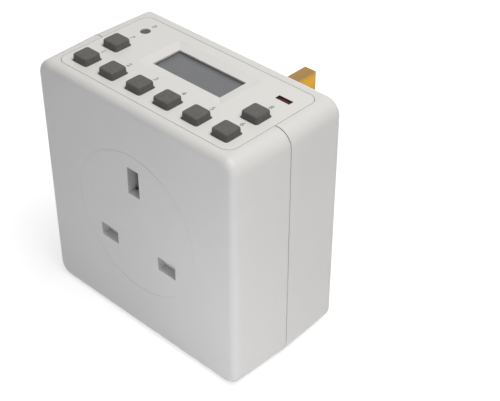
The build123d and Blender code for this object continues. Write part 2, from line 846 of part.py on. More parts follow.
# Pin clamp: plate that holds the pins' flanges against the plug face
with BuildPart() as pin_clamp:
    clamp_low = line_height - line_pin_height / 2 - clamp_margin
    clamp_high = earth_height + earth_pin_height / 2 + clamp_top_margin
    clamp_half = pin_offset + line_pin_width / 2 + clamp_margin
    with BuildSketch(Plane.XZ.offset(-flange_front_y)):
        with Locations((0, (clamp_low + clamp_high) / 2)):
            RectangleRounded(2 * clamp_half, clamp_high - clamp_low, clamp_margin)
    extrude(amount=clamp_thickness)
    rod_along_y(
        clamp_posts, small_screw_radius + screw_clearance, clamp_front_y, flange_front_y, Mode.SUBTRACT
    )
    pin_holes(pin_fit, clamp_front_y, flange_front_y, Mode.SUBTRACT)

pin_clamp_screws = screws(
    [(x, clamp_front_y, z) for x, z in clamp_posts], (0, -1, 0),
    small_screw_radius, clamp_thickness + flange_thickness + clamp_screw_bite, small_screw_head,
    small_screw_head_height,
)

case_screws = screws(
    [(x, case_seat_y, z) for x, z in case_posts], (0, 1, 0),
    case_screw_radius, case_screw_length, case_screw_head, case_screw_head_height,
)

# Contact carrier: moulded block with three pockets and the channel that guides the shutter
with BuildPart() as socket_carrier:
    block((-carrier_half, carrier_half), (carrier_front_y, carrier_rear_y), (carrier_low, carrier_high))
    fillet(socket_carrier.edges().filter_by(Axis.Y), carrier_corner)
    for side in (-1, 1):
        rail = sorted((side * (wing_reach + shutter_clearance), side * carrier_half))
        block(
            rail, (front_inside_y, carrier_front_y),
            (carrier_low + carrier_corner, carrier_high - carrier_corner),
        )
        block(
            sorted((side * guide_inner, side * (guide_inner + guide_wall))),
            (front_inside_y, carrier_front_y), (guide_low, carrier_high - carrier_corner),
        )
        block(
            sorted((side * (carrier_half - ear_root), side * (carrier_half + ear_length))),
            (ear_front_y, ear_rear_y), around(ear_height, ear_length),
        )
    for side in (-1, 1):
        block(
            around(side * pin_offset, line_pocket_width), (carrier_front_y, carrier_rear_y),
            around(line_height, line_pocket_height), Mode.SUBTRACT,
        )
    pocket_front_y = ramp_rear_y + ramp_clearance
    block(
        around(0, earth_pocket_width), (pocket_front_y, carrier_rear_y),
        around(earth_height, earth_pocket_height), Mode.SUBTRACT,
    )
    block(
        (-guide_inner, guide_inner), (carrier_front_y, pocket_front_y),
        (spring_under, earth_height + earth_pin_height / 2 + slot_clearance), Mode.SUBTRACT,
    )
    rod_along_z([(0, spring_y)], spigot_radius, spring_under - run_in, spring_under + spigot_length)
    rod_along_y(ears, small_screw_radius + screw_clearance, ear_front_y, ear_rear_y, Mode.SUBTRACT)

carrier_screws = screws(
    [(x, ear_rear_y, z) for x, z in ears], (0, 1, 0),
    small_screw_radius, ear_thickness + carrier_post_length - screw_end_gap, small_screw_head,
    small_screw_head_height,
)

# Shutter: wings over the live and neutral slots, and the ramp that the earth pin pushes down
with BuildPart() as socket_shutter:
    block(
        (-wing_reach, wing_reach), (shutter_front_y, shutter_rear_y),
        around(line_height, 2 * wing_half_height),
    )
    fillet(socket_shutter.edges().filter_by(Axis.Y), shutter_corner)
    block(around(0, ramp_width), (shutter_front_y, shutter_rear_y), (line_height, ramp_low))
    with BuildSketch(Plane.YZ.offset(-ramp_width / 2)):
        with BuildLine():
            Polyline(
                (shutter_rear_y, ramp_under), (shutter_rear_y, ramp_low),
                (ramp_rear_y - ramp_land, ramp_high), (ramp_rear_y, ramp_high),
                (ramp_rear_y, ramp_under), close=True,
            )
        make_face()
    extrude(amount=ramp_width)
    rod_along_z([(0, spring_y)], spigot_radius, ramp_under - spigot_length, ramp_under)

# Shutter spring: one unbroken wire, seated on the carrier and pushing the ramp up
with BuildPart() as shutter_spring:
    wire_rise = spring_length - spring_wire
    with BuildLine() as spring_path:
        Helix(
            pitch=wire_rise / spring_turns, height=wire_rise, radius=spring_radius,
            center=(0, spring_y, spring_under + spring_wire / 2),
        )
    with BuildSketch(Plane(origin=spring_path.line @ 0, z_dir=spring_path.line % 0)):
        Circle(spring_wire / 2)
    sweep(path=spring_path.line)

# Socket contacts: sprung brass forks, one for each slot
line_grip = line_pin_height - 2 * contact_grip
earth_grip = earth_pin_width - 2 * contact_grip
line_contacts = {}
for contact_name, contact_x in (("neutral", -pin_offset), ("live", pin_offset)):
    with BuildPart() as line_contact:
        block(
            around(contact_x, line_pin_width), (contact_front_y, line_contact_rear_y),
            around(line_height, line_grip + 2 * contact_thickness),
        )
        block(
            around(contact_x, line_pin_width), (contact_front_y, line_contact_rear_y - contact_thickness),
            around(line_height, line_grip), Mode.SUBTRACT,
        )
        for side in (-1, 1):
            leaf = line_height + side * (line_grip / 2 + contact_thickness / 2)
            block(
                around(contact_x, line_pin_width), (contact_front_y, contact_front_y + contact_thickness),
                sorted((leaf, line_height + side * line_pocket_height / 2)),
            )
    line_contacts[contact_name] = line_contact

with BuildPart() as earth_contact:
    fork_front_y = ramp_rear_y + 2 * ramp_clearance
    block(
        around(0, earth_grip + 2 * contact_thickness), (fork_front_y, earth_contact_rear_y),
        around(earth_height, earth_pin_height - earth_contact_trim),
    )
    block(
        around(0, earth_grip), (fork_front_y, earth_contact_rear_y - contact_thickness),
        around(earth_height, earth_pin_height - earth_contact_trim), Mode.SUBTRACT,
    )
    for side in (-1, 1):
        leaf = side * (earth_grip / 2 + contact_thickness / 2)
        block(
            sorted((leaf, side * earth_pocket_width / 2)), (fork_front_y, fork_front_y + contact_thickness),
            around(earth_height, earth_pin_height - earth_contact_trim),
        )

# Brass straps from the pins to the contacts and down to the power board
strap_z = around(line_height, strap_thickness)
with BuildPart() as earth_strap:
    block(around(0, strap_thickness), (earth_contact_rear_y, tail_y), around(earth_height, strap_width))

with BuildPart() as neutral_strap:
    block(around(-pin_offset, strap_width), (line_contact_rear_y, tail_y), strap_z)
    block(around(-pin_offset, strap_width), (drop_front_y, drop_rear_y), (power_top, strap_z[1]))

with BuildPart() as live_feed_strap:
    block(around(pin_offset, strap_width), (drop_front_y, tail_y), strap_z)
    block(around(pin_offset, strap_width), (drop_front_y, drop_rear_y), (power_top, strap_z[1]))

with BuildPart() as live_switched_strap:
    block(around(pin_offset, strap_width), (line_contact_rear_y, switched_y), strap_z)
    block(
        around(pin_offset, strap_width), (switched_y - strap_thickness, switched_y), (power_top, strap_z[1])
    )

# Power board, screwed to two posts of the front shell and resting on the rear shell
with BuildPart() as power_board:
    block((-power_half, power_half), (power_front_y, power_rear_y), (power_under, power_top))
    fillet(power_board.edges().filter_by(Axis.Z), board_corner)
    rod_along_z(power_posts, small_screw_radius + screw_clearance, power_under, power_top, Mode.SUBTRACT)

# Relay: base, coil, yoke, hinged armature with its contact spring, fixed contact and cover
relay_x = (relay_left_x, relay_right_x)
relay_depth_span = around(relay_y, relay_depth)
yoke_left_x = relay_left_x + relay_wall + yoke_gap
coil_x = yoke_left_x + yoke_thickness + coil_gap + coil_radius
armature_under = relay_top - relay_wall - relay_headroom - blade_thickness - armature_thickness
pole_top = armature_under - armature_gap
coil_span = (relay_floor + yoke_thickness, pole_top - pole_thickness)
hinge_x = yoke_left_x + yoke_thickness / 2
with BuildPart() as relay_base:
    block(relay_x, relay_depth_span, (power_top, relay_floor))

with BuildPart() as relay_cover:
    block(relay_x, relay_depth_span, (relay_floor, relay_top))
    fillet(relay_cover.faces().sort_by(Axis.Z)[-1].edges(), moulding_edge_radius)
    block(
        (relay_x[0] + relay_wall, relay_x[1] - relay_wall), around(relay_y, relay_depth - 2 * relay_wall),
        (relay_floor, relay_top - relay_wall), Mode.SUBTRACT,
    )

with BuildPart() as relay_yoke:
    block((yoke_left_x, coil_x + coil_radius), around(relay_y, 2 * coil_radius), (relay_floor, coil_span[0]))
    block(
        (yoke_left_x, yoke_left_x + yoke_thickness), around(relay_y, 2 * coil_radius),
        (relay_floor, armature_under - hinge_gap),
    )

with BuildPart() as relay_core:
    rod_along_z([(coil_x, relay_y)], core_radius, coil_span[0], pole_top)
    rod_along_z([(coil_x, relay_y)], pole_radius, coil_span[1], pole_top)

with BuildPart() as relay_coil:
    rod_along_z([(coil_x, relay_y)], coil_radius, *coil_span)
    rod_along_z(
        [(coil_x, relay_y)], coil_radius, coil_span[0] + coil_flange, coil_span[1] - coil_flange,
        Mode.SUBTRACT,
    )
    rod_along_z([(coil_x, relay_y)], coil_radius - winding_step, *coil_span)
    rod_along_z([(coil_x, relay_y)], core_radius, *coil_span, Mode.SUBTRACT)

contact_x = relay_right_x - relay_wall - contact_inset
with BuildPart() as relay_armature:
    block(
        (yoke_left_x, coil_x + pole_radius + armature_overrun),
        around(relay_y, 2 * coil_radius - armature_trim),
        (armature_under, armature_under + armature_thickness),
    )

with BuildPart() as relay_contact_spring:
    spring_top = armature_under + armature_thickness + blade_thickness
    block(
        (yoke_left_x + blade_root, contact_x + contact_button), around(relay_y, blade_width),
        (spring_top - blade_thickness, spring_top),
    )
    rod_along_z(
        [(contact_x, relay_y)], contact_button, spring_top - blade_thickness - contact_button_height,
        spring_top - blade_thickness,
    )

with BuildPart() as relay_fixed_contact:
    swing = (contact_x + contact_button - hinge_x) * sin(radians(armature_angle))
    button_top = spring_top - blade_thickness - contact_button_height - swing - contact_break
    rod_along_z([(contact_x, relay_y)], contact_button, button_top - contact_button_height, button_top)
    block(
        around(contact_x, 2 * contact_button), around(relay_y, blade_width),
        (relay_floor, button_top - contact_button_height),
    )

# Other parts of the power supply
dropper_x = (relay_right_x + dropper_gap, power_half - dropper_inset)
dropper_y = (switched_y + dropper_front_gap, drop_front_y - strap_gap)
with BuildPart() as dropper_capacitor:
    block(dropper_x, dropper_y, (power_top, power_top + dropper_height))
    fillet(dropper_capacitor.faces().sort_by(Axis.Z)[-1].edges(), moulding_edge_radius)

smoothing_y = dropper_y[0] - part_gap - smoothing_radius - smoothing_offset
smoothing_point = (dropper_x[1] - smoothing_radius, smoothing_y)
with BuildPart() as smoothing_capacitor:
    rod_along_z([smoothing_point], smoothing_radius, power_top, power_top + smoothing_height)
    fillet(smoothing_capacitor.edges(), smoothing_edge_radius)

surge_y = smoothing_y - surge_offset
surge_height = power_top + surge_radius + surge_lift
surge_x = smoothing_point[0] - smoothing_radius - part_gap - surge_radius
with BuildPart() as surge_disc:
    rod_along_y([(surge_x, surge_height)], surge_radius, *around(surge_y, surge_thickness))
    fillet(surge_disc.edges(), surge_edge_radius)
    for side in (-1, 1):
        rod_along_z([(surge_x + side * surge_lead_spread, surge_y)], surge_lead, power_top, surge_height)

diode_y = (
    power_posts[0][1] + small_screw_head + diode_screw_gap,
    relay_y - relay_depth / 2 - part_gap - diode_offset,
)
with BuildPart() as rectifier_diodes:
    for index in range(diode_count):
        diode_x = relay_left_x + diode_inset + index * diode_pitch
        rod_along_y([(diode_x, power_top + diode_radius)], diode_radius, *diode_y)

link_x = (power_half - link_width, power_half)
with BuildPart() as board_link:
    block(link_x, around(board_rear_y - link_inset, link_thickness), (power_top, board_under))

power_board_screws = screws(
    [(x, y, power_top) for x, y in power_posts], (0, 0, 1),
    small_screw_radius, board_thickness + power_board_lift + side_wall / 2 - screw_end_gap, small_screw_head,
    small_screw_head_height,
)

pieces = {
    "front_shell": front_shell,
    "rear_shell": rear_shell,
    "control_panel": control_panel,
    **keys,
    "keypad_mat": keypad_mat,
    "reset_button": reset_button,
    "reset_switch": reset_switch,
    "indicator_led": indicator_led,
    "display_window": display_window,
    "lcd_glass": lcd_glass,
    "lcd_frame": lcd_frame,
    "lcd_connector_strips": lcd_connector_strips,
    "control_board": control_board,
    "controller_chip": controller_chip,
    "timing_crystal": timing_crystal,
    "standby_battery": standby_battery,
    "panel_screws": panel_screws,
    "earth_pin": earth_pin,
    "live_pin": line_pins["live"],
    "neutral_pin": line_pins["neutral"],
    "live_pin_sleeve": line_sleeves["live"],
    "neutral_pin_sleeve": line_sleeves["neutral"],
    "pin_clamp": pin_clamp,
    "pin_clamp_screws": pin_clamp_screws,
    "case_screws": case_screws,
    "socket_carrier": socket_carrier,
    "carrier_screws": carrier_screws,
    "socket_shutter": socket_shutter,
    "shutter_spring": shutter_spring,
    "earth_contact": earth_contact,
    "live_contact": line_contacts["live"],
    "neutral_contact": line_contacts["neutral"],
    "earth_strap": earth_strap,
    "neutral_strap": neutral_strap,
    "live_feed_strap": live_feed_strap,
    "live_switched_strap": live_switched_strap,
    "power_board": power_board,
    "power_board_screws": power_board_screws,
    "relay_base": relay_base,
    "relay_cover": relay_cover,
    "relay_yoke": relay_yoke,
    "relay_core": relay_core,
    "relay_coil": relay_coil,
    "relay_armature": relay_armature,
    "relay_contact_spring": relay_contact_spring,
    "relay_fixed_contact": relay_fixed_contact,
    "dropper_capacitor": dropper_capacitor,
    "smoothing_capacitor": smoothing_capacitor,
    "surge_disc": surge_disc,
    "rectifier_diodes": rectifier_diodes,
    "board_link": board_link,
}
for name, piece in pieces.items():
    piece.part.label = name
    export_step(piece.part, f"parts/{name}.step")
print(len(pieces), "pieces written")
print("shutter travel", round(shutter_travel, 3))
print("least gap of the spring's wire", round(wire_rise / spring_turns - spring_wire, 3))
print("relay hinge", round(hinge_x, 3), round(relay_y, 3), round(armature_under, 3))
print("stations", round(front_y, 3), round(seam_y, 3), round(rear_y, 3), round(plug_y, 3))
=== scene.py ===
"""Looks of the plug-through digital timer switch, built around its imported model.

Laid out as an add-on and run as a script. All lengths are in metres unless a name says otherwise.
"""

import math

import bmesh
import bpy
from bpy.props import FloatProperty, FloatVectorProperty, IntProperty, PointerProperty
from mathutils import Matrix, Vector


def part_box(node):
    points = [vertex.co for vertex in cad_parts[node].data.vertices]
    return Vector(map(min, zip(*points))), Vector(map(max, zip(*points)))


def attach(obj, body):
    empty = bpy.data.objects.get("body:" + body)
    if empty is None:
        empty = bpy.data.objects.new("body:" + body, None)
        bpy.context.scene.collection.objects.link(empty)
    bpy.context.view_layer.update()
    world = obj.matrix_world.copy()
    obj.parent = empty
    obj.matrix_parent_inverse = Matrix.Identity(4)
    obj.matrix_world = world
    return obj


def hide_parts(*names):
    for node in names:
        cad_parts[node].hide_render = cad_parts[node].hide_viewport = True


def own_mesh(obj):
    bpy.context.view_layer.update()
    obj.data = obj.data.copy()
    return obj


bl_info = {
    "name": "Digital Timer Switch",
    "version": (1, 0, 0),
    "blender": (4, 5, 0),
    "location": "3D View > Sidebar > Timer Switch",
    "description": "Models the soft and small pieces of a timer switch and finishes every piece of it",
    "category": "Object",
}

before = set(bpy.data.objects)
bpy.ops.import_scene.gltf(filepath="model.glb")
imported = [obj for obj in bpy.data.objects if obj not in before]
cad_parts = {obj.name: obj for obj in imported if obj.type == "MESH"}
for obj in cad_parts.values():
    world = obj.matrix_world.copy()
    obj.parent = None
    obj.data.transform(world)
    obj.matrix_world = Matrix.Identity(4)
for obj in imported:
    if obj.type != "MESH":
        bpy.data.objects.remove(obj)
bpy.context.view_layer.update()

MM = 0.001
KEYS = ("clock", "timer", "countdown", "week", "hour", "minute", "random", "manual")
PANEL_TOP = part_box("control_panel")[1].z
MAT_LOW, MAT_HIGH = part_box("keypad_mat")
SPRING_LOW, SPRING_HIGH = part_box("shutter_spring")
RESET_LOW, RESET_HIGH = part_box("reset_button")
LAMP_LOW, LAMP_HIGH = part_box("indicator_led")
PIN_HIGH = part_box("earth_pin")[1]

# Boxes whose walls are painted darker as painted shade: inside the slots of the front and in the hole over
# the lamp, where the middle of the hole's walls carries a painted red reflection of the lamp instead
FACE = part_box("front_shell")[0].y
SLOT_MOUTH = FACE + 0.2 * MM
SLOT_END = FACE + 3 * MM
LINE_SLOTS = (Vector((-0.0150, SLOT_MOUTH, 0.0260)), Vector((0.0150, SLOT_END, 0.0310)))
EARTH_SLOT = (Vector((-0.0030, SLOT_MOUTH, 0.0462)), Vector((0.0030, SLOT_END, 0.0550)))
HOLE_FLOOR = PANEL_TOP - 2 * MM
HOLE_MOUTH = PANEL_TOP - 0.04 * MM
# painted shade: the walls of the hole over the lamp painted near black where shade falls in it
LAMP_HOLE = (
    Vector((LAMP_LOW.x, LAMP_LOW.y, HOLE_FLOOR)),
    Vector((LAMP_HIGH.x, LAMP_HIGH.y, HOLE_MOUTH)),
)
# painted reflection: the middle of the hole's walls painted red as if lit by the lamp
RED_REFLECTION_WALLS = (
    Vector((LAMP_LOW.x + 1.5 * MM, LAMP_LOW.y, HOLE_FLOOR)),
    Vector((LAMP_HIGH.x - 1.2 * MM, LAMP_HIGH.y, HOLE_MOUTH)),
)
# painted shade: the lamp's two ends darkened where the hole shades them
LAMP_SHADE_FADES = (  # where red ends and dark begins at the lamp's two ends
    (LAMP_LOW.x + 1.9 * MM, LAMP_LOW.x + 1.2 * MM),
    (LAMP_HIGH.x - 1.6 * MM, LAMP_HIGH.x - 0.9 * MM),
)
# near black of the painted shade in the lamp's hole and at the lamp's ends
PAINTED_SHADE = (0.045, 0.036, 0.034)
# red of the painted reflection of the lamp on its hole's walls
PAINTED_RED_REFLECTION = (0.24, 0.065, 0.065)

# Small fixed measures of the pieces
# painted shade: widths of the bands along the earth pin's upper edge and at its tip that are painted brown as
# shade
TOP_SHADE_BAND = 2.5 * MM
TIP_SHADE_BAND = 0.7 * MM
OVERLAP = 0.05 * MM  # of the parts of one moulding
PILL_OVERLAP = 0.02 * MM
FLARE_SHARES = (0.22, 0.30, 0.58)  # of the flare's height, from the foot up
FLARE_START = 0.985  # of the foot's width, at the first of these
FLARE_SWELL = 0.06  # in mm, by which the flare is hollow in its middle
WEB_LIP = 0.1 * MM
WEB_CORNER = 0.6 * MM
WEB_MARGIN = 0.2  # in mm, of the mat's sheet round the outer webs
RESET_RADIUS = 1.4 * MM
RESET_EDGE = 0.30 * MM
RESET_DISH = 0.06 * MM
RESET_FLANGE = 0.8 * MM
RESET_FLANGE_DROP = 1.65 * MM
LAMP_WIDTH, LAMP_DEPTH = 4.5 * MM, 1.5 * MM
LAMP_EDGE = 0.22 * MM
LAMP_CORNER = 0.15 * MM
LAMP_FLANGE = (5.5 * MM, 2.5 * MM)
LAMP_FLANGE_THICKNESS = 0.5 * MM
ROUND_STEPS = 48
PILL_STEPS = 32
WIRE_STEPS = 10
CLOSED_PITCH = 2.1  # of the wire's radius
CROWN_GAP = 0.6  # of a ring, left round the middle of a crown
LEVEL = 0.99  # least upright part of a level face's normal
CUT_DECIMALS = 6  # that tell two cuts of the mat apart
LEVEL_DECIMALS = 7  # that tell two level faces apart
SAME_PLACE = 1e-7
DIGIT_SHARE = 0.7  # height of a digit in a font of size one
EVEN_CURVE = 0.5
NO_MATERIAL = -1

# What all finishes share
BAND_BLUR = 0.08
SCUFF_DETAIL = 9  # times as fine as the patches
SCUFF_RANGE = (0.62, 0.75)
SHINE_DETAIL = 3  # times as fine as the patches
SHINE_SPREAD = 0.12
BUMP_STRENGTH = 0.35

# The stage
FLOOR_GLOW = 0.56
SKY_GLOW = 0.80
SKY_TINT = (0.93, 0.92, 1.0, 1.0)
AIM = Vector((0.0, -0.015, 0.04))
LAMPS = (  # setting of its power, place, size and tint of each lamp
    ("top", (0.14, 0.01, 0.47), (0.33, 0.33), (1.0, 0.985, 0.935)),
    ("side", (0.70, 0.02, 0.12), (0.45, 0.25), (1.0, 0.88, 0.70)),
    ("front", (0.10, -0.13, 0.02), (0.06, 0.04), (0.96, 0.965, 1.0)),
    ("rear", (-0.30, 0.50, 0.04), (0.40, 0.06), (0.97, 0.98, 1.0)),
)
CAMERA_PLACE = (0.192958, -0.197022, 0.233598)
CAMERA_TURN = (52.96314, -0.11768, 43.20449)
SENSOR_WIDTH = 36.0


# Settings that a user would change

def length_mm(name, description, default, low=0.0, high=100.0):
    """Length property in millimetres, because the pieces are small."""
    return FloatProperty(name=name, description=description, default=default, min=low, max=high, precision=3)


def colour(name, description, default):
    """Colour property with a linear default."""
    return FloatVectorProperty(
        name=name, description=description, default=default, subtype="COLOR", size=3, min=0.0, max=1.0
    )


class TimerColours(bpy.types.PropertyGroup):
    case: colour("Case", "White of the two case halves", (0.76, 0.757, 0.745))
    panel: colour("Panel", "White of the control panel", (0.79, 0.785, 0.765))
    key: colour("Keys", "Grey of the soft keys and the reset", (0.118, 0.118, 0.113))
    display: colour("Display", "Grey of the liquid crystal display", (0.176, 0.180, 0.197))
    lamp: colour("Lamp", "Red of the indicator lamp", (0.090, 0.021, 0.020))
    brass: colour("Pins", "Brass of the plug pins", (0.57, 0.30, 0.020))
    # the brown of the pins' scuffs, also used as painted shade on the earth pin's upper edge and tip
    tarnish_and_shade: colour("Tarnish", "Brown on the upper edge of the earth pin", (0.22, 0.165, 0.115))
    marks: colour("Marks", "Grey of the printed numerals", (0.30, 0.30, 0.30))
    board: colour("Boards", "Green of the circuit boards", (0.028, 0.155, 0.065))


class TimerKeyShape(bpy.types.PropertyGroup):
    foot: length_mm("Foot width", "Width of a key in its hole, in mm", 5.6)
    waist: length_mm("Waist width", "Width of a key just above the panel, in mm", 5.37)
    top: length_mm("Top width", "Width of a key at its top, in mm", 5.25)
    rise: length_mm("Rise", "Height of a key above the panel, in mm", 2.05)
    flare: length_mm("Flare", "Height of the flared foot above the panel, in mm", 0.3)
    corner: length_mm("Corner radius", "Radius of a key's upright corners, in mm", 0.75)
    edge: length_mm("Edge radius", "Radius round a key's top, in mm", 0.45)
    crown: length_mm("Crown", "Rise of a key's top in its middle, in mm", 0.06)
    sink: length_mm("Depth", "Depth of a key below the panel, in mm", 3.0)
    plunger: length_mm("Plunger width", "Width of the plunger under a key, in mm", 3.2)
    pill: length_mm("Pill thickness", "Thickness of the contact pill, in mm", 0.4)


class TimerMatShape(bpy.types.PropertyGroup):
    thickness: length_mm("Sheet thickness", "Thickness of the keypad mat's sheet, in mm", 1.0)
    web_foot: length_mm("Web foot", "Width of a key's web where it meets the sheet, in mm", 7.0)
    web_top: length_mm("Web top", "Width of a key's web under the key, in mm", 5.56)
    web_wall: length_mm("Web wall", "Thickness of a key's web, in mm", 0.5)


class TimerSpringShape(bpy.types.PropertyGroup):
    wire: length_mm("Wire", "Diameter of the shutter spring's wire, in mm", 0.4)
    turns: IntProperty(name="Turns", description="Turns between the closed ends", default=6, min=1, max=20)
    steps: IntProperty(name="Steps", description="Steps round one turn", default=28, min=12, max=64)


class TimerMarkShape(bpy.types.PropertyGroup):
    height: length_mm("Numeral height", "Height of the numerals behind the keys, in mm", 1.5)
    weight: length_mm("Numeral weight", "Thickening of a numeral's strokes, in mm", 0.05)
    key_offset: length_mm("Key offset", "Distance from a key's middle to its numeral, in mm", 5.6)
    reset_offset: length_mm("Reset offset", "Distance from the reset's middle to its numeral, in mm", 3.4)
    ink: length_mm("Ink thickness", "Thickness of the printed ink, in mm", 0.02)
    steps: IntProperty(name="Steps", description="Steps in each bend of a numeral", default=6, min=2, max=10)


class TimerStageSettings(bpy.types.PropertyGroup):
    floor: FloatProperty(name="Floor", description="Width of the floor", default=4.0, subtype="DISTANCE")
    lens: FloatProperty(name="Lens", description="Focal length of the camera, in mm", default=86.93)
    sky: FloatProperty(name="Sky", description="Strength of the even light from all round", default=0.21)
    top: FloatProperty(name="Top lamp", description="Watts of the lamp overhead", default=1.53)
    side: FloatProperty(name="Side lamp", description="Watts of the lamp on the right", default=0.05)
    front: FloatProperty(name="Front lamp", description="Watts of the lamp in front", default=0.047)
    rear: FloatProperty(name="Rear lamp", description="Watts of the lamp behind", default=0.40)


SETTINGS = {
    "timer_colours": TimerColours,
    "timer_key": TimerKeyShape,
    "timer_mat": TimerMatShape,
    "timer_spring": TimerSpringShape,
    "timer_marks": TimerMarkShape,
    "timer_stage": TimerStageSettings,
}


# Finishes

def add_node(tree, kind, **properties):
    """New shader node with the given properties."""
    node = tree.nodes.new(kind)
    for key, value in properties.items():
        setattr(node, key, value)
    return node


def object_place(tree, stretch):
    """Object coordinates, stretched where a grain has a direction."""
    coordinates = add_node(tree, "ShaderNodeTexCoord")
    mapping = add_node(tree, "ShaderNodeMapping")
    mapping.inputs["Scale"].default_value = stretch
    tree.links.new(coordinates.outputs["Object"], mapping.inputs["Vector"])
    return mapping.outputs["Vector"]


def noise(tree, place, scale, detail=3.0, roughness=0.55):
    """Noise pattern read at a place."""
    node = add_node(tree, "ShaderNodeTexNoise")
    node.inputs["Scale"].default_value = scale
    node.inputs["Detail"].default_value = detail
    node.inputs["Roughness"].default_value = roughness
    tree.links.new(place, node.inputs["Vector"])
    return node.outputs["Fac"]


def spread(tree, value, low, high, from_low=0.3, from_high=0.7):
    """A pattern's values brought between two limits."""
    node = add_node(tree, "ShaderNodeMapRange")
    node.inputs["From Min"].default_value = from_low
    node.inputs["From Max"].default_value = from_high
    node.inputs["To Min"].default_value = low
    node.inputs["To Max"].default_value = high
    tree.links.new(value, node.inputs["Value"])
    return node.outputs["Result"]


def mixed(tree, factor, first, second):
    """Colour between two colours, each a colour or a socket."""
    node = add_node(tree, "ShaderNodeMix", data_type="RGBA")
    tree.links.new(factor, node.inputs[0])
    for index, value in ((6, first), (7, second)):
        if isinstance(value, bpy.types.NodeSocket):
            tree.links.new(value, node.inputs[index])
        else:
            node.inputs[index].default_value = (*value, 1.0)
    return node.outputs[2]


def toned(base, factor):
    """A colour made lighter or darker."""
    return tuple(min(1.0, part * factor) for part in base)


def object_axes(tree):
    """Object coordinates, one socket for each axis."""
    axes = add_node(tree, "ShaderNodeSeparateXYZ")
    tree.links.new(object_place(tree, (1, 1, 1)), axes.inputs[0])
    return axes.outputs


def within(tree, low, high):
    """One inside a box of object coordinates and nought outside it."""
    inside = None
    for index, along in enumerate(object_axes(tree)):
        near = add_node(tree, "ShaderNodeMath", operation="COMPARE")
        tree.links.new(along, near.inputs[0])
        near.inputs[1].default_value = (low[index] + high[index]) / 2
        near.inputs[2].default_value = (high[index] - low[index]) / 2
        if inside is None:
            inside = near.outputs[0]
            continue
        both = add_node(tree, "ShaderNodeMath", operation="MULTIPLY")
        tree.links.new(inside, both.inputs[0])
        tree.links.new(near.outputs[0], both.inputs[1])
        inside = both.outputs[0]
    return inside


def finish(name, base, roughness, metal=0.0, uneven=0.04, patch=45.0, grain=2600.0, relief=0.01,
           stretch=(1, 1, 1), scuff=0.0, scuff_colour=(0.5, 0.5, 0.5), sockets=None, bands=None,
           painted_shade_tints=(), painted_light_boxes=()):
    """Finish with patchy colour, uneven shine, fine relief and light scuffs, all on object coordinates; where
    given, tints along an axis and boxes paint shade and reflection into the colour.
    """
    material = bpy.data.materials.new(name)
    material.use_nodes = True
    tree = material.node_tree
    shader = tree.nodes["Principled BSDF"]
    place = object_place(tree, stretch)
    patches = noise(tree, place, patch, 4.0)
    tint = mixed(tree, spread(tree, patches, 0.0, 1.0), toned(base, 1 - uneven), toned(base, 1 + uneven))
    if bands:
        axis, count, other, share = bands
        wave = add_node(tree, "ShaderNodeTexWave", bands_direction=axis)
        wave.inputs["Scale"].default_value = count
        tree.links.new(place, wave.inputs["Vector"])
        stripes = spread(tree, wave.outputs["Fac"], 0.0, 1.0, share - BAND_BLUR, share + BAND_BLUR)
        tint = mixed(tree, stripes, tint, other)
    # painted shade: colour darkened along an axis
    for axis, start, end, other in painted_shade_tints:
        tint = mixed(tree, spread(tree, object_axes(tree)[axis], 0.0, 1.0, start, end), tint, other)
    # painted shade and painted reflection: colour set inside boxes
    for low, high, other in painted_light_boxes:
        tint = mixed(tree, within(tree, low, high), tint, other)
    if scuff:
        marks = noise(tree, place, patch * SCUFF_DETAIL, 6.0, 0.7)
        scratches = spread(tree, marks, 0.0, scuff, *SCUFF_RANGE)
        tint = mixed(tree, scratches, tint, scuff_colour)
    tree.links.new(tint, shader.inputs["Base Color"])
    fine = noise(tree, place, grain, 2.0)
    shine = spread(
        tree, noise(tree, place, patch * SHINE_DETAIL, 5.0),
        roughness * (1 - SHINE_SPREAD), min(1.0, roughness * (1 + SHINE_SPREAD)),
    )
    tree.links.new(shine, shader.inputs["Roughness"])
    bump = add_node(tree, "ShaderNodeBump")
    bump.inputs["Strength"].default_value = BUMP_STRENGTH
    bump.inputs["Distance"].default_value = relief * MM
    tree.links.new(fine, bump.inputs["Height"])
    tree.links.new(bump.outputs["Normal"], shader.inputs["Normal"])
    shader.inputs["Metallic"].default_value = metal
    for socket, value in (sockets or {}).items():
        shader.inputs[socket].default_value = value
    return material


